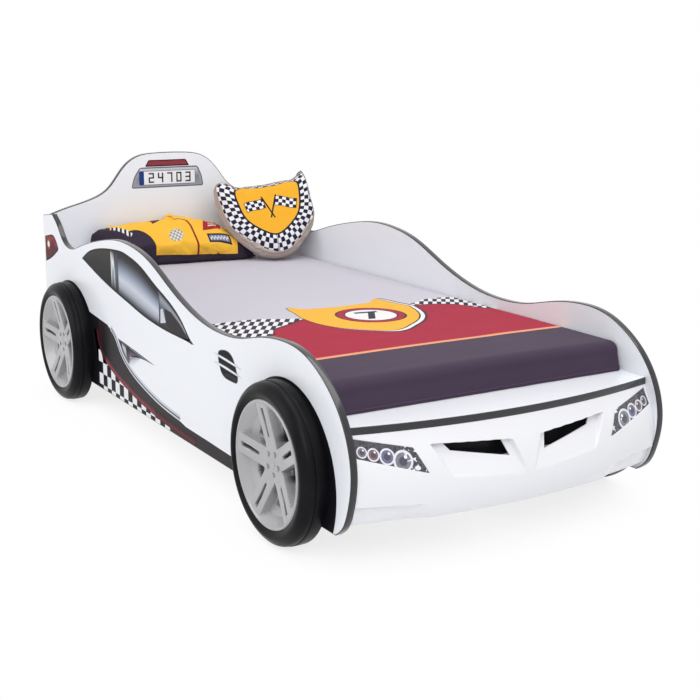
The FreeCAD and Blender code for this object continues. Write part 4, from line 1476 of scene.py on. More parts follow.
    def cap(self, name: str, side: Side, y: float) -> bpy.types.Object:
        """The domed hub cap with a rolled edge and a plain sunk middle."""
        top = self.hub_face + 0.0028
        edge = self.cap_radius
        section = [(0.0075, top - 0.0008), (0.0085, top - 0.0001), (0.0105, top),
                   (edge - 0.001, top - 0.0006), (edge, top - 0.002), (edge, self.hub_face)]
        turns = 64
        vertices = [self.spot(side, y, 0.0, 0.0, top - 0.0008)]
        vertices += [self.spot(side, y, radius, 2 * math.pi * k / turns, height)
                     for radius, height in section for k in range(turns)]
        faces = [(0, 1 + k, 1 + (k + 1) % turns) for k in range(turns)]
        faces += [tuple(1 + i for i in f) for f in strips(len(section), turns, round_columns=True)]
        faces.append(tuple(1 + (len(section) - 1) * turns + k for k in range(turns)))
        return make_piece(name, vertices, faces, [self.silver], soft_edges=35.0)

    def build(self) -> None:
        """Make the four wheels and their nuts."""
        spots = []
        for end, y in WHEEL_YS.items():
            for side in Side:
                tag = f"{end}_{side.label}"
                keep(self.tyre(f"tyre_{tag}", side, y), "bed", "tyre", f"tyres_{end}")
                keep(self.rim(f"rim_{tag}", side, y), "bed", "rim", f"rims_{end}")
                keep(self.cap(f"hub_cap_{tag}", side, y), "bed", "hub", "hub_caps")
                for k in range(self.spokes):
                    a = math.radians(self.lean + (k + 0.5) * 360 / self.spokes)
                    spots.append(self.spot(side, y, self.lug_circle, a, self.hub_face + 0.001))
        nuts = Nuts(self.lug, self.lug_height, self.silver).on("lug_nuts", spots)
        keep(nuts, "bed", "hub", "wheel_nuts")


# ------------------------------------------------------------------ the bedding
def points_of(piece: bpy.types.Object) -> np.ndarray:
    """A piece's vertex places."""
    flat = np.empty(len(piece.data.vertices) * 3)
    piece.data.vertices.foreach_get("co", flat)
    return flat.reshape(-1, 3)


def move_points(piece: bpy.types.Object, places: np.ndarray) -> None:
    """Set a piece's vertex places."""
    piece.data.vertices.foreach_set("co", places.reshape(-1))


def loft(rings: Sequence[np.ndarray]) -> tuple[list[tuple], list[tuple[int, ...]]]:
    """Vertices and faces of a closed loft through rings of equal length."""
    count = len(rings[0])
    last = (len(rings) - 1) * count
    faces = strips(len(rings), count, round_columns=True)
    faces += [tuple(range(count)), tuple(range(last, last + count))]
    return [tuple(p) for ring in rings for p in ring], faces


def snapped(line: np.ndarray, piece: bpy.types.Object, lift: float) -> list[Vector]:
    """A line laid on a piece's surface and lifted off it a little."""
    bpy.context.view_layer.update()
    tree = BVHTree.FromObject(piece, bpy.context.evaluated_depsgraph_get())
    hits = [tree.find_nearest(Vector(p)) for p in line]
    return [place + normal * lift for place, normal, _, _ in hits]


def welt(name: str, line: Sequence[Sequence[float]], radius: float, material: bpy.types.Material,
         closed: bool = True) -> bpy.types.Object:
    """A round welt or thread along a line.

    Args:
        name: the piece's name.
        line: the places that it passes.
        radius: its radius.
        material: its finish.
        closed: whether its end joins its start.

    Returns:
        The object.
    """
    curve = bpy.data.curves.new(name, "CURVE")
    curve.dimensions = "3D"
    curve.bevel_depth = radius
    curve.bevel_resolution = 2
    curve.use_fill_caps = True
    spline = curve.splines.new("POLY")
    spline.points.add(len(line) - 1)
    for point, place in zip(spline.points, line):
        point.co = (*place, 1.0)
    spline.use_cyclic_u = closed
    holder = linked(name + "_line", curve)
    bpy.context.view_layer.update()
    mesh = bpy.data.meshes.new_from_object(holder.evaluated_get(bpy.context.evaluated_depsgraph_get()))
    bpy.data.objects.remove(holder)
    mesh.materials.clear()
    mesh.materials.append(material)
    mesh.shade_smooth()
    return linked(name, mesh)


@dataclass(frozen=True)
class Stuffing:
    """How filling swells a cover: a short cloth simulation whose movement is capped."""

    voxel: float = 0.006
    slack: float = 0.008
    pressure: float = 4.0
    cap: float = 0.022
    frames: int = 20
    spare: float = -0.05
    easing: int = 4

    def fill(self, piece: bpy.types.Object, clear: Callable[[np.ndarray], np.ndarray]) -> None:
        """Swell a closed piece.

        Args:
            piece: the piece, whose mesh is replaced.
            clear: moves points off what lies round the piece.
        """
        even = piece.modifiers.new("even", "REMESH")
        even.mode = "VOXEL"
        even.voxel_size = self.voxel
        ease = piece.modifiers.new("ease", "SMOOTH")
        ease.iterations = self.easing
        frozen(piece)
        self.simulate(piece)
        move_points(piece, clear(points_of(piece)))
        finer = piece.modifiers.new("finer", "SUBSURF")
        finer.levels = finer.render_levels = 1
        frozen(piece)
        move_points(piece, clear(points_of(piece)))
        piece.data.shade_smooth()

    def simulate(self, piece: bpy.types.Object) -> None:
        """Run the cloth and keep its result, no point moving further than the cap."""
        normals = np.array([v.normal for v in piece.data.vertices])
        start = points_of(piece) - normals * self.slack
        move_points(piece, start)
        cloth = piece.modifiers.new("cover", "CLOTH")
        weave = cloth.settings
        weave.quality = 6
        weave.mass = 0.25
        weave.tension_stiffness = weave.compression_stiffness = 12.0
        weave.shear_stiffness = 6.0
        weave.bending_stiffness = 0.3
        weave.use_pressure = True
        weave.uniform_pressure_force = self.pressure
        weave.shrink_min = self.spare
        weave.effector_weights.gravity = 0.0
        cloth.collision_settings.use_collision = False
        cloth.point_cache.frame_start = 1
        cloth.point_cache.frame_end = self.frames
        for frame in range(1, self.frames + 1):
            bpy.context.scene.frame_set(frame)
        moved = points_of(piece.evaluated_get(bpy.context.evaluated_depsgraph_get()))
        piece.modifiers.clear()
        bpy.context.scene.frame_set(1)
        away = moved - start
        far = np.linalg.norm(away, axis=1, keepdims=True)
        move_points(piece, start + away * np.minimum(1, self.cap / np.maximum(far, 1e-9)))


@dataclass(frozen=True)
class SpreadPrint:
    """The bedspread's cotton: a plain field, checkered wings, a badge, a red field and a dark foot.

    The cloth's own coordinates are used: across from the middle, and along from the bed's origin,
    counted on over the front edge.
    """

    lilac: Colour = (0.495, 0.475, 0.535)
    foot: Colour = (0.052, 0.034, 0.062)
    red: Colour = (0.33, 0.009, 0.034)
    line: Colour = (0.70, 0.30, 0.16)
    yellow: Colour = (0.74, 0.38, 0.035)
    check: Point = (0.0135, 0.050)

    def badge(self, r: Recipe, u: Wire, v: Wire, size: float, slip: float = 0.0) -> Wire:
        """The badge's outline, at a share of its size and slipped inside it to one side."""
        up = (v - slip + 0.235) / size - 0.235
        side = abs(u + slip - 0.058 - r.math("MINIMUM", up + 0.2, 0.0) * 0.14) / size
        top = side.curve(0.0, 0.20, [(0.0, 0.54), (0.05, 0.56), (0.09, 0.59), (0.125, 0.64), (0.148, 0.79),
                                     (0.163, 0.83), (0.172, 0.74), (0.182, 0.44), (0.20, 0.05)]) * 0.20 - 0.22
        low = side.curve(0.0, 0.20, [(0.0, 0.02), (0.035, 0.055), (0.07, 0.135), (0.113, 0.24), (0.150, 0.37),
                                     (0.178, 0.54), (0.194, 0.75), (0.20, 0.95)]) * 0.35 - 0.50
        return (side < 0.198) & (up < top) & (up > low)

    def material(self, name: str) -> bpy.types.Material:
        """Write the material."""
        r = Recipe(name)
        u, v = r.cloth_place()
        crest = u.curve(-0.55, 0.55, [(-0.55, 0.86), (-0.42, 0.86), (-0.30, 0.87), (-0.13, 0.64),
                                      (0.0, 0.60), (0.27, 0.77), (0.34, 0.89), (0.40, 0.90),
                                      (0.46, 0.83), (0.55, 0.80)]) * 0.30 - 0.40
        seam = u.curve(-0.55, 0.55, [(-0.55, 0.12), (-0.40, 0.12), (-0.32, 0.16), (-0.27, 0.38),
                                     (-0.20, 0.50), (-0.13, 0.61), (0.0, 0.62), (0.27, 0.67),
                                     (0.36, 0.57), (0.41, 0.31), (0.46, 0.17), (0.55, 0.17)]) * 0.30 - 0.40
        colour = r.uneven(self.lilac, 3.0, 0.5, 0.9, detail=3.0)
        a, b = turned(u, v, (0.0, 0.0), -35.0)
        squares = checks(a, b, *self.check)
        colour = r.mix(v < crest, colour, r.mix(squares, (0.68, 0.67, 0.71), (0.018, 0.014, 0.022)))
        colour = r.mix(v < seam, colour, (0.06, 0.012, 0.022))
        colour = r.mix(v < (seam - 0.010), colour, r.uneven(self.red, 9.0, 0.5, 0.75))
        wavy = v + r.noise(3.5, 1.0) * 0.012
        colour = r.mix(wavy < -0.634, colour, self.line)
        colour = r.mix(wavy.between(-0.640, -0.637), colour, dimmed(self.line, 0.7))
        colour = r.mix(wavy < -0.652, colour, r.uneven(self.foot, 7.0, 0.6, 0.7))
        badge = self.badge(r, u, v, 1.0)
        for size, slip, tint in ((1.0, 0.0, (0.03, 0.02, 0.025)), (0.968, 0.001, (0.70, 0.69, 0.70)),
                                 (0.950, 0.007, (0.05, 0.03, 0.03)), (0.935, 0.0085, self.yellow)):
            colour = r.mix(self.badge(r, u, v, size, slip), colour, tint)
        colour = self.roundel(r, u, v, colour)
        creases = r.noise(11.0, 5.0, r.join(u * 0.6, v * 1.4, 0.0))
        relief = r.bump(creases, 0.004, 0.35, under=r.bump(badge, 0.0012, 0.8))
        return r.finish(Base_Color=colour, Roughness=0.82, Specular_IOR_Level=0.2, Sheen_Weight=0.05,
                        Sheen_Roughness=0.45,
                        Normal=r.bump(woven(u, v), 0.0002, 0.4, under=relief))

    def roundel(self, r: Recipe, u: Wire, v: Wire, colour: Wire) -> Wire:
        """A plain number on a white roundel, set a little askew."""
        a, b = turned(u, v, (0.060, -0.262), -8.0)
        away = away_from(a, b, (0.0, 0.0))
        for radius, tint in ((0.105, (0.05, 0.02, 0.03)), (0.098, self.red), (0.080, (0.05, 0.02, 0.03)),
                             (0.075, (0.70, 0.69, 0.70))):
            colour = r.mix(away < radius, colour, tint)
        slope = a - b * 0.42
        seven = boxed(a, b, -0.036, 0.036, 0.030, 0.048) | boxed(slope, b, -0.009, 0.013, -0.052, 0.04)
        return r.mix(seven, colour, (0.025, 0.02, 0.04))


@dataclass
class Bedspread:
    """The fitted bedspread: a flat top, a fall at the front edge and drops inside the side boards."""

    top: float = 0.4205
    crown: float = 0.0028
    half: float = 0.4532
    front: float = -0.873
    head: float = 1.031
    hem: float = 0.3453
    shoulder: float = 0.014
    nose: float = 0.030
    flare: float = 0.016
    ripple: float = 0.0016
    thickness: float = 0.0018
    step: float = 0.012

    def wave(self, u: float, v: float) -> float:
        """Depth of the soft hollows in the cloth."""
        slow = noise.noise(Vector((u * 3.1, v * 2.3, 1.7)))
        quick = noise.noise(Vector((u * 9.0 + v * 4.0, v * 7.0, 5.1)))
        return 0.0013 * (slow - 0.3) + 0.0005 * quick

    def build(self, material: bpy.types.Material, thread: bpy.types.Material) -> None:
        """Lay the top, then carry its three free edges over the shoulder and down."""
        side, front = self.half - self.shoulder, self.front + self.nose
        nx, ny = round(2 * side / self.step), round((self.head - front) / self.step)
        us, vs = np.linspace(-side, side, nx + 1), np.linspace(front, self.head, ny + 1)
        cloth = [(u, v) for v in vs for u in us]
        vertices = [(u, v, self.top + self.crown * (1 - (u / side) ** 2) + self.wave(u, v)) for u, v in cloth]
        faces = [f[::-1] for f in strips(ny + 1, nx + 1)]
        rim, ways = self.rim(nx, ny)
        fall = [(a, 0.0) for a in np.linspace(0, math.pi / 2, 8)[1:]]
        fall += [(math.pi / 2, t) for t in np.linspace(0, 1, 8)[1:]]
        previous = rim
        for a, share in fall:
            row = []
            for k, (base, way) in enumerate(zip(rim, ways)):
                x, y, z = vertices[base]
                u, v = cloth[base]
                r = self.shoulder + (self.nose - self.shoulder) * abs(way[1])
                drop = self.top - self.hem - r
                out, down, run = r * math.sin(a), r * (1 - math.cos(a)) + drop * share, r * a + drop * share
                push = out + self.flare * share * abs(way[1]) ** 2
                folds = math.sin(26.0 * (u + v)) * (0.6 + 0.4 * math.sin(7.0 * u))
                ripple = self.ripple * share * folds * abs(way[1])
                row.append(len(vertices))
                vertices.append((x + way[0] * out, y + way[1] * (push - abs(ripple)),
                                 self.top - down + (z - self.top) * (1 - share)))
                cloth.append((u + way[0] * run, v + way[1] * run))
            faces += [(previous[k], previous[k + 1], row[k + 1], row[k]) for k in range(len(rim) - 1)]
            previous = row
        faces = [tuple(dict.fromkeys(f)) for f in faces]
        piece = make_piece("bedspread_cover", vertices, faces, [material], soft_edges=None, outwards=False)
        layer = piece.data.uv_layers.new(name="cloth")
        for loop in piece.data.loops:
            layer.data[loop.index].uv = cloth[loop.vertex_index]
        if piece.data.polygons[0].normal.z < 0:
            piece.data.flip_normals()
        thick = piece.modifiers.new("cloth", "SOLIDIFY")
        thick.thickness = self.thickness
        thick.offset = -1.0
        frozen(piece)
        piece.data.shade_smooth()
        piece.data.set_sharp_from_angle(angle=math.radians(60.0))
        keep(piece, "mattress", "bedspread", "bedspread")
        hem = [vertices[i] for i in previous]
        seam = [(x * 1.0005, y - 0.0006, z + 0.008) for x, y, z in hem]
        sewn = Stitching(thread).along("hem_stitching", seam)
        keep(sewn, "mattress", "bedspread")
        aside, ahead = (self.top - self.hem + r * (math.pi / 2 - 1) for r in (self.shoulder, self.nose))
        width, length = 2 * (side + aside), self.head - front + ahead
        corners = 2 * aside * ahead * (1 - math.pi / 4)
        width * length - corners

    def rim(self, nx: int, ny: int) -> tuple[list[int], list[Point]]:
        """The free edge of the top, with the way the cloth falls at each of its points.

        Args:
            nx: columns of the top.
            ny: rows of the top.

        Returns:
            Vertex numbers, with a fan at each corner, and directions.
        """
        row = nx + 1
        fan = [k * math.pi / 16 for k in range(1, 8)]
        left = [j * row for j in range(ny, -1, -1)]
        right = [j * row + nx for j in range(ny + 1)]
        places = left + [0] * len(fan) + list(range(row)) + [nx] * len(fan) + right
        ways = [(-1.0, 0.0)] * len(left) + [(-math.cos(a), -math.sin(a)) for a in fan]
        ways += [(0.0, -1.0)] * row + [(math.sin(a), -math.cos(a)) for a in fan]
        return places, ways + [(1.0, 0.0)] * len(right)


@dataclass
class Mattress:
    """The foam mattress: quilted border between two corded edges, rounded corners."""

    half: float = 0.4465
    front: float = -0.8675
    head: float = 1.031
    bottom: float = 0.2705
    top: float = 0.4145
    corner: float = 0.035
    edge: float = 0.018
    seam: float = 0.012

    def ring(self, inset: float, up: float) -> np.ndarray:
        """The plan, drawn in by a distance, at a height over the underside."""
        corner = max(self.corner - inset, 0.004)
        x, y0, y1 = self.half - inset - corner, self.front + inset + corner, self.head - inset - corner
        turn = np.linspace(0, math.pi / 2, 9)
        loop = []
        for cx, cy, start in ((x, y1, 0.0), (-x, y1, 0.5), (-x, y0, 1.0), (x, y0, 1.5)):
            angles = turn + start * math.pi
            xs, ys = cx + corner * np.cos(angles), cy + corner * np.sin(angles)
            loop.append(np.column_stack([xs, ys, np.full(len(turn), self.bottom + up)]))
        return np.vstack(loop)

    def build(self, ticking: bpy.types.Material, cord: bpy.types.Material) -> None:
        """Loft the block and sew its two edges."""
        r, height = self.edge, self.top - self.bottom
        profile = [(r + 0.05, 0.0), (r, 0.0)]
        profile += [(r * (1 - math.sin(a)), r * (1 - math.cos(a))) for a in np.linspace(0.2, math.pi / 2, 6)]
        profile += [(0.002, 0.05), (0.0, height / 2)]
        profile += [(inset, height - up) for inset, up in reversed(profile[:-1])]
        vertices, faces = loft([self.ring(inset, up) for inset, up in profile])
        core = make_piece("mattress_core", vertices, faces, [ticking], soft_edges=50.0)
        keep(core, "mattress", "mattress", "mattress")
        for name, up in (("lower", self.seam), ("upper", height - self.seam)):
            line = self.ring(0.0038, up)
            keep(welt(f"mattress_{name}_welt", line, 0.0022, cord), "mattress", "mattress")


@dataclass(frozen=True)
class PillowPrint:
    """The pillowcase: a yellow panel with a red seam and patches between dark ends."""

    yellow: Colour = (0.80, 0.44, 0.040)
    dark: Colour = (0.030, 0.020, 0.036)
    maroon: Colour = (0.20, 0.012, 0.016)

    def material(self, name: str) -> bpy.types.Material:
        """Write the material."""
        r = Recipe(name)
        x, y, z = r.place()
        a, b = (x + 0.202) / 0.066, (y - 0.858) / 0.068
        corner = ((a * a + b * b) < 1.0) | ((x < -0.202) & (y < 0.926))
        across, beyond = turned(x, y, (-0.230, 0.943), -48.0)
        corner = corner | ((beyond < -0.012) & (x < -0.19))
        end = x > ((y - 0.83) * 0.45 + 0.172)
        panel = (z > (0.4555 - x * 0.042)) & (x > -0.262) & (y < 1.02) & (corner < 0.5) & (end < 0.5)
        colour = r.mix(panel, r.uneven(self.dark, 12.0, 0.6, 0.6), r.uneven(self.yellow, 12.0, 0.5, 0.8))
        strip = boxed(across, beyond, -0.044, 0.040, -0.014, 0.003)
        stripes = r.mix((across + beyond * 0.5).parity(0.0085), (0.66, 0.65, 0.69), (0.014, 0.012, 0.02))
        colour = r.mix(strip & (z > 0.462), colour, stripes)
        past = r.math("MAXIMUM", y - 0.895, 0.0)
        bend = past * past * 14.0
        colour = r.mix(panel & (abs(x + bend - 0.019) < 0.0038), colour, self.maroon)
        colour = r.mix(z > 0.452, colour, self.patches(r, x, y, colour))
        relief = r.bump(r.noise(16.0, 5.0), 0.006, 0.35)
        return r.finish(Base_Color=colour, Roughness=0.8, Specular_IOR_Level=0.2, Sheen_Weight=0.05,
                        Sheen_Roughness=0.45,
                        Normal=r.bump(woven(x, y + z), 0.0002, 0.4, under=relief))

    def patches(self, r: Recipe, x: Wire, y: Wire, colour: Wire) -> Wire:
        """Plain sewn patches: a striped bar, a checkered disc, a red pennant and a small bar."""
        a, b = turned(x, y, (0.110, 0.853), -3.0)
        bar = boxed(a, b, -0.044, 0.044, -0.016, 0.016)
        inside = boxed(a, b, -0.037, 0.037, -0.010, 0.010)
        wave = abs(b + r.math("SINE", a * 520.0) * 0.004) < 0.0035
        colour = r.mix(bar, colour, (0.020, 0.018, 0.035))
        colour = r.mix(inside, colour, r.mix(wave, (0.16, 0.17, 0.24), (0.55, 0.55, 0.60)))
        away = away_from(x, y * 1.25, (-0.050, 0.876 * 1.25))
        small = checks(x, y, 0.0075)
        colour = r.mix(away < 0.026, colour, r.mix(small, (0.62, 0.58, 0.48), (0.24, 0.24, 0.27)))
        a, b = turned(x, y, (0.103, 0.905), 3.0)
        lean = a - b * 0.5
        pennant = boxed(lean, b, -0.036, 0.036, -0.019, 0.019)
        colour = r.mix(pennant, colour, (0.30, 0.016, 0.022))
        mark = boxed(lean, b, -0.016, 0.018, -0.007, 0.006) & (abs(b) > 0.0022)
        colour = r.mix(mark, colour, (0.62, 0.50, 0.46))
        a, b = turned(x, y, (-0.094, 0.950), 14.0)
        tab = boxed(a, b, -0.028, 0.028, -0.012, 0.012)
        return r.mix(tab, colour, r.mix(a > 0.004, (0.10, 0.025, 0.03), (0.30, 0.22, 0.22)))


@dataclass
class Pillow:
    """The pillow propped in the angle of mattress and headboard, its right end pressed flat."""

    deep: float = 0.204
    high: float = 0.160
    base: float = 0.4243
    rear: float = 1.0372
    section: tuple[Point, ...] = ((0.0, 0.0), (0.49, -0.005), (0.966, 0.0), (1.0, 0.41), (0.99, 0.85),
                                  (0.834, 1.01), (0.483, 0.7625), (0.100, 0.315), (0.012, 0.150))
    # place along the bed's width, share of the depth, share of the height, front edge
    stations: tuple[tuple[float, float, float, float], ...] = (
        (-0.323, 0.46, 0.66, 0.925), (-0.298, 0.66, 0.775, 0.885), (-0.248, 0.84, 0.875, 0.855),
        (-0.144, 0.98, 0.97, 0.835), (-0.070, 1.04, 1.00, 0.825), (-0.030, 1.05, 1.09, 0.821),
        (0.015, 1.03, 1.02, 0.817), (0.060, 1.00, 0.96, 0.814), (0.125, 0.86, 0.86, 0.811),
        (0.170, 0.70, 0.66, 0.812), (0.200, 0.54, 0.44, 0.815), (0.232, 0.37, 0.22, 0.823),
        (0.256, 0.20, 0.10, 0.835))

    def build(self, cover: bpy.types.Material) -> None:
        """Loft the wedge and fill it."""
        section = smooth(self.section, 0.04, closed=True)
        xs, depths, heights, fronts = np.array(self.stations).T
        rings = []
        for x in np.linspace(xs[0], xs[-1], 73):
            deep, high, front = (float(np.interp(x, xs, column)) for column in (depths, heights, fronts))
            rings.append(np.column_stack([np.full(len(section), x), front + section[:, 0] * self.deep * deep,
                                          self.base + section[:, 1] * self.high * high]))
        vertices, faces = loft(rings)
        piece = make_piece("pillow_case", vertices, faces, [cover], soft_edges=None)
        Stuffing().fill(piece, self.clear)
        keep(piece, "pillow", "pillow", "pillow")

    def clear(self, points: np.ndarray) -> np.ndarray:
        """Keep the pillow off the bedspread and the headboard."""
        points = points.copy()
        points[:, 1] = np.minimum(points[:, 1], self.rear)
        points[:, 2] = np.maximum(points[:, 2], self.base)
        return points


@dataclass(frozen=True)
class ShieldPrint:
    """The shield cushion's cover: a yellow badge with crossed flags in a checkered ring, beige sides."""

    yellow: Colour = (0.76, 0.37, 0.022)
    navy: Colour = (0.012, 0.012, 0.026)
    white: Colour = (0.72, 0.71, 0.75)
    beige: Colour = (0.46, 0.385, 0.345)
    rows: float = 4.0

    def material(self, name: str) -> bpy.types.Material:
        """Write the material."""
        r = Recipe(name)
        u, v = r.split(r.node("UVMap", {"uv_map": "face"}))[:2]
        run, share = r.split(r.node("UVMap", {"uv_map": "ring"}))[:2]
        depth = r.node("Attribute", {"attribute_name": "depth"}, output="Fac")
        colour = r.mix(checks(run, share * self.rows, 1.0), self.white, self.navy)
        colour = r.mix(share < 0.0, colour, r.uneven(self.yellow, 14.0, 0.4, 0.85))
        colour = r.mix(share.between(-0.055, 0.045), colour, self.navy)
        colour = self.flags(r, u, v, colour)
        colour = r.mix(depth < 0.0305, colour, r.uneven(self.beige, 30.0, 0.5, 0.85))
        relief = r.bump(r.noise(20.0, 4.0), 0.004, 0.3, under=r.bump(share < 0.0, 0.0016, 0.9))
        return r.finish(Base_Color=colour, Roughness=0.86, Specular_IOR_Level=0.2, Sheen_Weight=0.06,
                        Sheen_Roughness=0.5,
                        Normal=r.bump(r.noise(420.0, 3.0), 0.0006, 0.4, under=relief))

    def flags(self, r: Recipe, u: Wire, v: Wire, colour: Wire) -> Wire:
        """Two crossed chequered flags on poles."""
        for lean, foot, middle, askew, half in ((-21.0, (-0.007, 0.153), (0.059, 0.207), -15.5, 0.0405),
                                                (20.5, (0.007, 0.151), (-0.057, 0.2105), 9.5, 0.0365)):
            a, b = turned(u, v, middle, askew)
            b = b + r.math("SINE", a * 70.0) * 0.0025
            flag = boxed(a, b, -half, half, -0.0202, 0.0202)
            rim = flag & (boxed(a, b, -half + 0.0024, half - 0.0024, -0.0178, 0.0178) < 0.5)
            squares = checks(a + 0.4995, b + 0.50625, 0.0135)
            colour = r.mix(flag, colour, r.mix(squares, self.white, self.navy))
            a, b = turned(u, v, foot, lean)
            colour = r.mix(rim | boxed(a, b, -0.0027, 0.0027, 0.0, 0.097), colour, self.navy)
        return colour


@dataclass
class ShieldCushion:
    """The shield-shaped cushion: two crowned faces and a gusset between welted seams."""

    foot: tuple[float, float, float] = (0.3045, 0.7415, 0.4241)
    yaw: float = 22.7
    lean: float = 33.0
    roll: float = 9.0
    middle: Point = (0.0, 0.185)
    seam: tuple[float, float] = (0.955, 0.031)
    square: float = 0.0165
    lowest: float = 0.4245
    board: float = 0.4525
    # the left halves of the two outlines, across and up the face
    outer: tuple[Point, ...] = ((0.0, 0.318), (-0.075, 0.320), (-0.125, 0.327), (-0.150, 0.337),
                                (-0.176, 0.341), (-0.193, 0.330), (-0.199, 0.302), (-0.197, 0.263),
                                (-0.190, 0.213), (-0.168, 0.141), (-0.124, 0.082), (-0.068, 0.031))
    badge: tuple[Point, ...] = ((0.0, 0.284), (-0.058, 0.288), (-0.100, 0.296), (-0.113, 0.289),
                                (-0.119, 0.243), (-0.113, 0.205), (-0.099, 0.162), (-0.073, 0.129),
                                (-0.041, 0.102))
    # share of the outline and depth, from the face's middle to the gusset's
    profile: tuple[Point, ...] = ((0.02, 0.047), (0.35, 0.0468), (0.60, 0.046), (0.78, 0.044), (0.87, 0.0405),
                                  (0.925, 0.0355), (0.955, 0.031), (0.985, 0.017), (0.995, 0.0))

    def __post_init__(self) -> None:
        """Set up the cushion's own directions: across, up its face and out of it."""
        yaw, lean, roll = (math.radians(a) for a in (self.yaw, self.lean, self.roll))
        facing = np.array([-math.sin(yaw), -math.cos(yaw), 0.0])
        upright = np.array([0.0, 0.0, 1.0])
        across = np.array([math.cos(yaw), -math.sin(yaw), 0.0])
        up = upright * math.cos(lean) - facing * math.sin(lean)
        self.axes = np.array([across * math.cos(roll) + up * math.sin(roll),
                              up * math.cos(roll) - across * math.sin(roll),
                              facing * math.cos(lean) + upright * math.sin(lean)])

    def outline(self, half: Sequence[Point], foot: float) -> np.ndarray:
        """A whole outline from its left half and the height of its foot."""
        whole = [*half, (0.0, foot), *[(-a, b) for a, b in reversed(half[1:])]]
        return smooth(whole, 0.006, closed=True)

    def to_bed(self, local: np.ndarray) -> np.ndarray:
        """Carry the cushion's own coordinates to the bed."""
        return local @ self.axes + np.array(self.foot)

    def build(self, cover: bpy.types.Material, cord: bpy.types.Material) -> None:
        """Loft the cushion, fill it, mark its pattern and sew its welts."""
        outer = self.outline(self.outer, 0.010)
        middle = np.array(self.middle)
        rings = []
        for scale, height in [*self.profile, *[(s, -h) for s, h in reversed(self.profile[:-1])]]:
            flat = middle + (outer - middle) * scale
            rings.append(self.to_bed(np.column_stack([flat, np.full(len(flat), height)])))
        vertices, faces = loft(rings)
        piece = make_piece("cushion_cover", vertices, faces, [cover], soft_edges=None)
        Stuffing(voxel=0.005, slack=0.004, cap=0.010, easing=2, spare=-0.02).fill(piece, self.clear)
        self.mark(piece, outer)
        keep(piece, "cushion", "cushion", "shield_cushion")
        share, depth = self.seam
        for name, height in (("front", depth), ("back", -depth)):
            flat = middle + (outer - middle) * (share + 0.02)
            line = snapped(self.to_bed(np.column_stack([flat, np.full(len(flat), height)])), piece, 0.0004)
            keep(welt(f"cushion_{name}_welt", line, 0.0022, cord), "cushion", "cushion")

    def polar(self, flat: np.ndarray) -> tuple[np.ndarray, np.ndarray]:
        """The turn about the face's middle and the distance from it."""
        across, up = (flat - np.array(self.middle)).T
        return np.arctan2(across, up), np.hypot(across, up)

    def mark(self, piece: bpy.types.Object, outer: np.ndarray) -> None:
        """Write each corner's place on the face, its place round the ring, and each point's depth.

        Args:
            piece: the cushion.
            outer: its whole outline.
        """
        middle = np.array(self.middle)
        outer = middle + (outer - middle) * self.seam[0]
        local = (points_of(piece) - np.array(self.foot)) @ self.axes.T
        turn, radius = self.polar(local[:, :2])
        whole = 2 * math.pi
        far, near = (np.interp(turn, *self.polar(loop), period=whole)
                     for loop in (outer, self.outline(self.badge, 0.084)))
        share = (radius - near) / (far - near)
        half_way = middle + (outer - middle) * 0.84
        angle = self.polar(half_way)[0]
        order = np.argsort(angle)
        around = half_way[order]
        steps = np.linalg.norm(np.diff(np.vstack([around, around[:1]]), axis=0), axis=1)
        total = steps.sum()
        count = 2 * round(total / self.square / 2)
        run = np.interp(turn, angle[order], np.concatenate([[0], np.cumsum(steps)[:-1]]), period=whole)
        run = run * count / total
        mesh = piece.data
        face, ring = mesh.uv_layers.new(name="face"), mesh.uv_layers.new(name="ring")
        depth = mesh.attributes.new("depth", "FLOAT", "POINT")
        depth.data.foreach_set("value", local[:, 2])
        corner = np.empty(len(mesh.loops), int)
        mesh.loops.foreach_get("vertex_index", corner)
        # a face that lies across the ring's start counts on past it
        starts = np.repeat([p.loop_start for p in mesh.polygons], [p.loop_total for p in mesh.polygons])
        wrapped = run[corner]
        wrapped = wrapped + count * np.round((wrapped[starts] - wrapped) / count)
        face.data.foreach_set("uv", local[corner][:, :2].reshape(-1))
        ring.data.foreach_set("uv", np.column_stack([wrapped + 2 * count, share[corner]]).reshape(-1))

    def clear(self, points: np.ndarray) -> np.ndarray:
        """Keep the cushion off the bedspread and the side board."""
        points = points.copy()
        points[:, 2] = np.maximum(points[:, 2], self.lowest)
        points[:, 0] = np.minimum(points[:, 0], self.board)
        return points


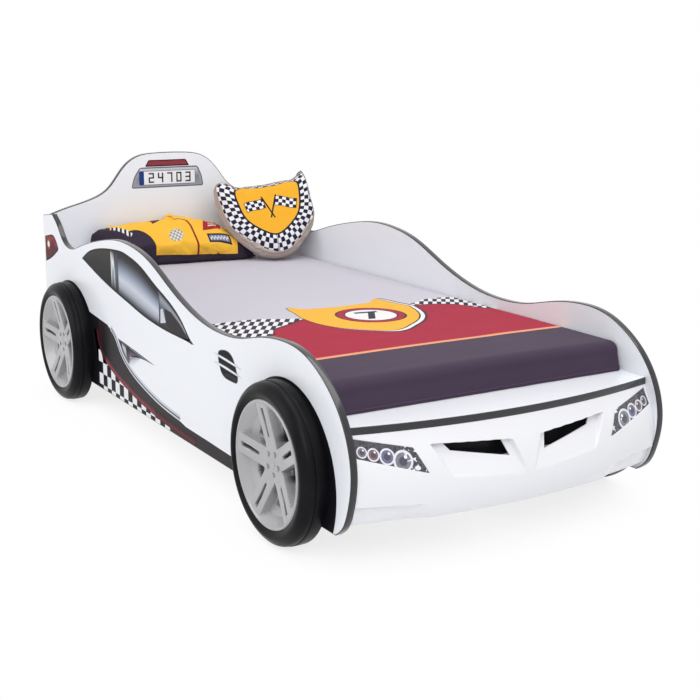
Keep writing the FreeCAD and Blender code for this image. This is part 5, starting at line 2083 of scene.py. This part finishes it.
# ------------------------------------------------------------------ the studio
@dataclass
class Studio:
    """Camera, floor, world and lamps."""

    lens_pixels: float = 1228.71
    image: int = 700
    eye: tuple[float, float, float] = (-1.8145, -3.2084, 1.1367)
    yaw: float = 31.4791
    pitch: float = 13.1958
    roll: float = 0.3298
    aim: tuple[float, float, float] = (0.0, 0.0, 0.3)
    # name, place, size and power
    lights: tuple[tuple[str, tuple[float, float, float], float, float], ...] = (
        ("key", (-2.2, -3.6, 3.2), 2.4, 65.0), ("top", (0.3, -0.7, 3.3), 3.0, 70.0),
        ("fill", (-4.0, 1.2, 1.8), 2.4, 40.0))

    def camera(self) -> None:
        """The photographer's place, fitted to the photograph's own points."""
        data = bpy.data.cameras.new("camera")
        data.sensor_width = 36.0
        data.lens = self.lens_pixels * data.sensor_width / self.image
        data.clip_end = 60.0
        data.dof.use_dof = False
        yaw, pitch, roll = (math.radians(a) for a in (self.yaw, self.pitch, self.roll))
        forward = Vector((math.sin(yaw) * math.cos(pitch), math.cos(yaw) * math.cos(pitch), -math.sin(pitch)))
        right = Vector((math.cos(yaw), -math.sin(yaw), 0.0))
        up = right.cross(forward)
        axis_x = right * math.cos(roll) + up * math.sin(roll)
        axis_y = up * math.cos(roll) - right * math.sin(roll)
        camera = linked("camera", data)
        turn = Matrix((axis_x, axis_y, -forward)).transposed().to_4x4()
        camera.matrix_world = Matrix.Translation(self.eye) @ turn
        bpy.context.scene.camera = camera

    def floor(self) -> None:
        """A pale floor that shows white to the camera but keeps the bed's shadow."""
        r = Recipe("floor_paper")
        shade = r.node("BsdfDiffuse", None, {"Color": (0.84, 0.85, 0.87, 1.0)})
        glow = r.node("Emission", None, {"Color": (1.0, 1.0, 1.0, 1.0), "Strength": 1.0})
        occlusion = r.node("AmbientOcclusion", {"samples": 8}, {"Distance": 0.45}, output="AO")
        white = occlusion.curve(0.0, 1.0, [(0.0, 0.72), (0.55, 0.95), (0.85, 1.0), (1.0, 1.0)]) * r.seen()
        r.node("OutputMaterial", None, {"Surface": r.node("MixShader", None, {0: white, 1: shade, 2: glow})})
        half = 14.0
        floor = make_piece("floor", [(-half, -half, 0), (half, -half, 0), (half, half, 0), (-half, half, 0)],
                           [(0, 1, 2, 3)], [r.material], soft_edges=None, outwards=False)
        floor.location.z = -0.0006

    def world(self) -> None:
        """A white surround that lights softly and shows white wherever it is seen."""
        bpy.context.scene.world = bpy.data.worlds.new("surround")
        r = Recipe("surround", bpy.context.scene.world)
        inputs = {"Color": (1.0, 1.0, 1.0, 1.0), "Strength": r.seen() * 0.40 + 0.60}
        r.node("OutputWorld", None, {"Surface": r.node("Background", None, inputs)})

    def lamps(self) -> None:
        """A large soft key from the front, a top light and a fill from the right side."""
        for name, place, size, power in self.lights:
            data = bpy.data.lights.new(name, "AREA")
            data.energy = power
            data.size = size
            lamp = linked(name, data)
            lamp.location = place
            lamp.rotation_mode = "QUATERNION"
            lamp.rotation_quaternion = (Vector(self.aim) - Vector(place)).to_track_quat("-Z", "Y")

    def build(self) -> None:
        """Set the stage."""
        bpy.context.scene.view_settings.view_transform = "Standard"
        self.camera()
        self.floor()
        self.world()
        self.lamps()


def dress_nodes(nodes: dict[str, bpy.types.Object], finishes: dict[str, bpy.types.Material]) -> None:
    """Give the CAD nodes that stay their finishes.

    Args:
        nodes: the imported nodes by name.
        finishes: name prefix to material, the longest prefix winning.
    """
    for name, node in nodes.items():
        match = max((p for p in finishes if name.startswith(p)), key=len, default=None)
        if match is not None:
            node.data.materials.clear()
            node.data.materials.append(finishes[match])


def main() -> None:
    """Build the bed round its frame."""
    logging.basicConfig(level=logging.INFO, format="%(message)s")
    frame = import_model()
    Studio().build()

    lacquer = Lacquer().material("white_lacquer")
    edging = GlossPlastic((0.007, 0.007, 0.012), roughness=0.22, coat=0.35).material("slate_edging")
    moulding = GlossPlastic((0.80, 0.80, 0.83), roughness=0.2, mottle=0.01).material("white_moulding")
    black = GlossPlastic((0.006, 0.006, 0.008), roughness=0.38, coat=0.0, specular=0.2)
    black = black.material("black_plastic")
    film = PrintedFilm().material("printed_film")
    silver = SilverPaint().material("wheel_silver")
    rubber = Rubber().material("tyre_black")
    pine_across = Pine().material("pine_across")
    pine_along = Pine(along="y").material("pine_along")

    BodyBoards(lacquer, edging).build()
    for side in Side:
        SideGraphics(side, film).build()
    HeadboardGraphics(film).build()
    Bumper(moulding).build(LampPrint().material("lamp_print"))
    Wheels(rubber, silver).build()
    dress_nodes(frame["nodes"], {
        "foot_board": lacquer, "grille_backing": black, "slat_": pine_across, "side_rail": pine_along,
        "centre_beam": pine_along, "leg_": pine_along, "corner_post": pine_along, "glide": black,
        "slat_tapes": Ticking((0.75, 0.73, 0.66)).material("webbing"),
    })
    cord = Ticking((0.30, 0.25, 0.22)).material("welt_cord")
    Mattress().build(Ticking((0.76, 0.75, 0.72)).material("mattress_ticking"), cord)
    thread = Ticking((0.10, 0.08, 0.12)).material("thread")
    Bedspread().build(SpreadPrint().material("bedspread_print"), thread)
    Pillow().build(PillowPrint().material("pillow_print"))
    ShieldCushion().build(ShieldPrint().material("cushion_print"), cord)


if __name__ == "__main__":
    main()
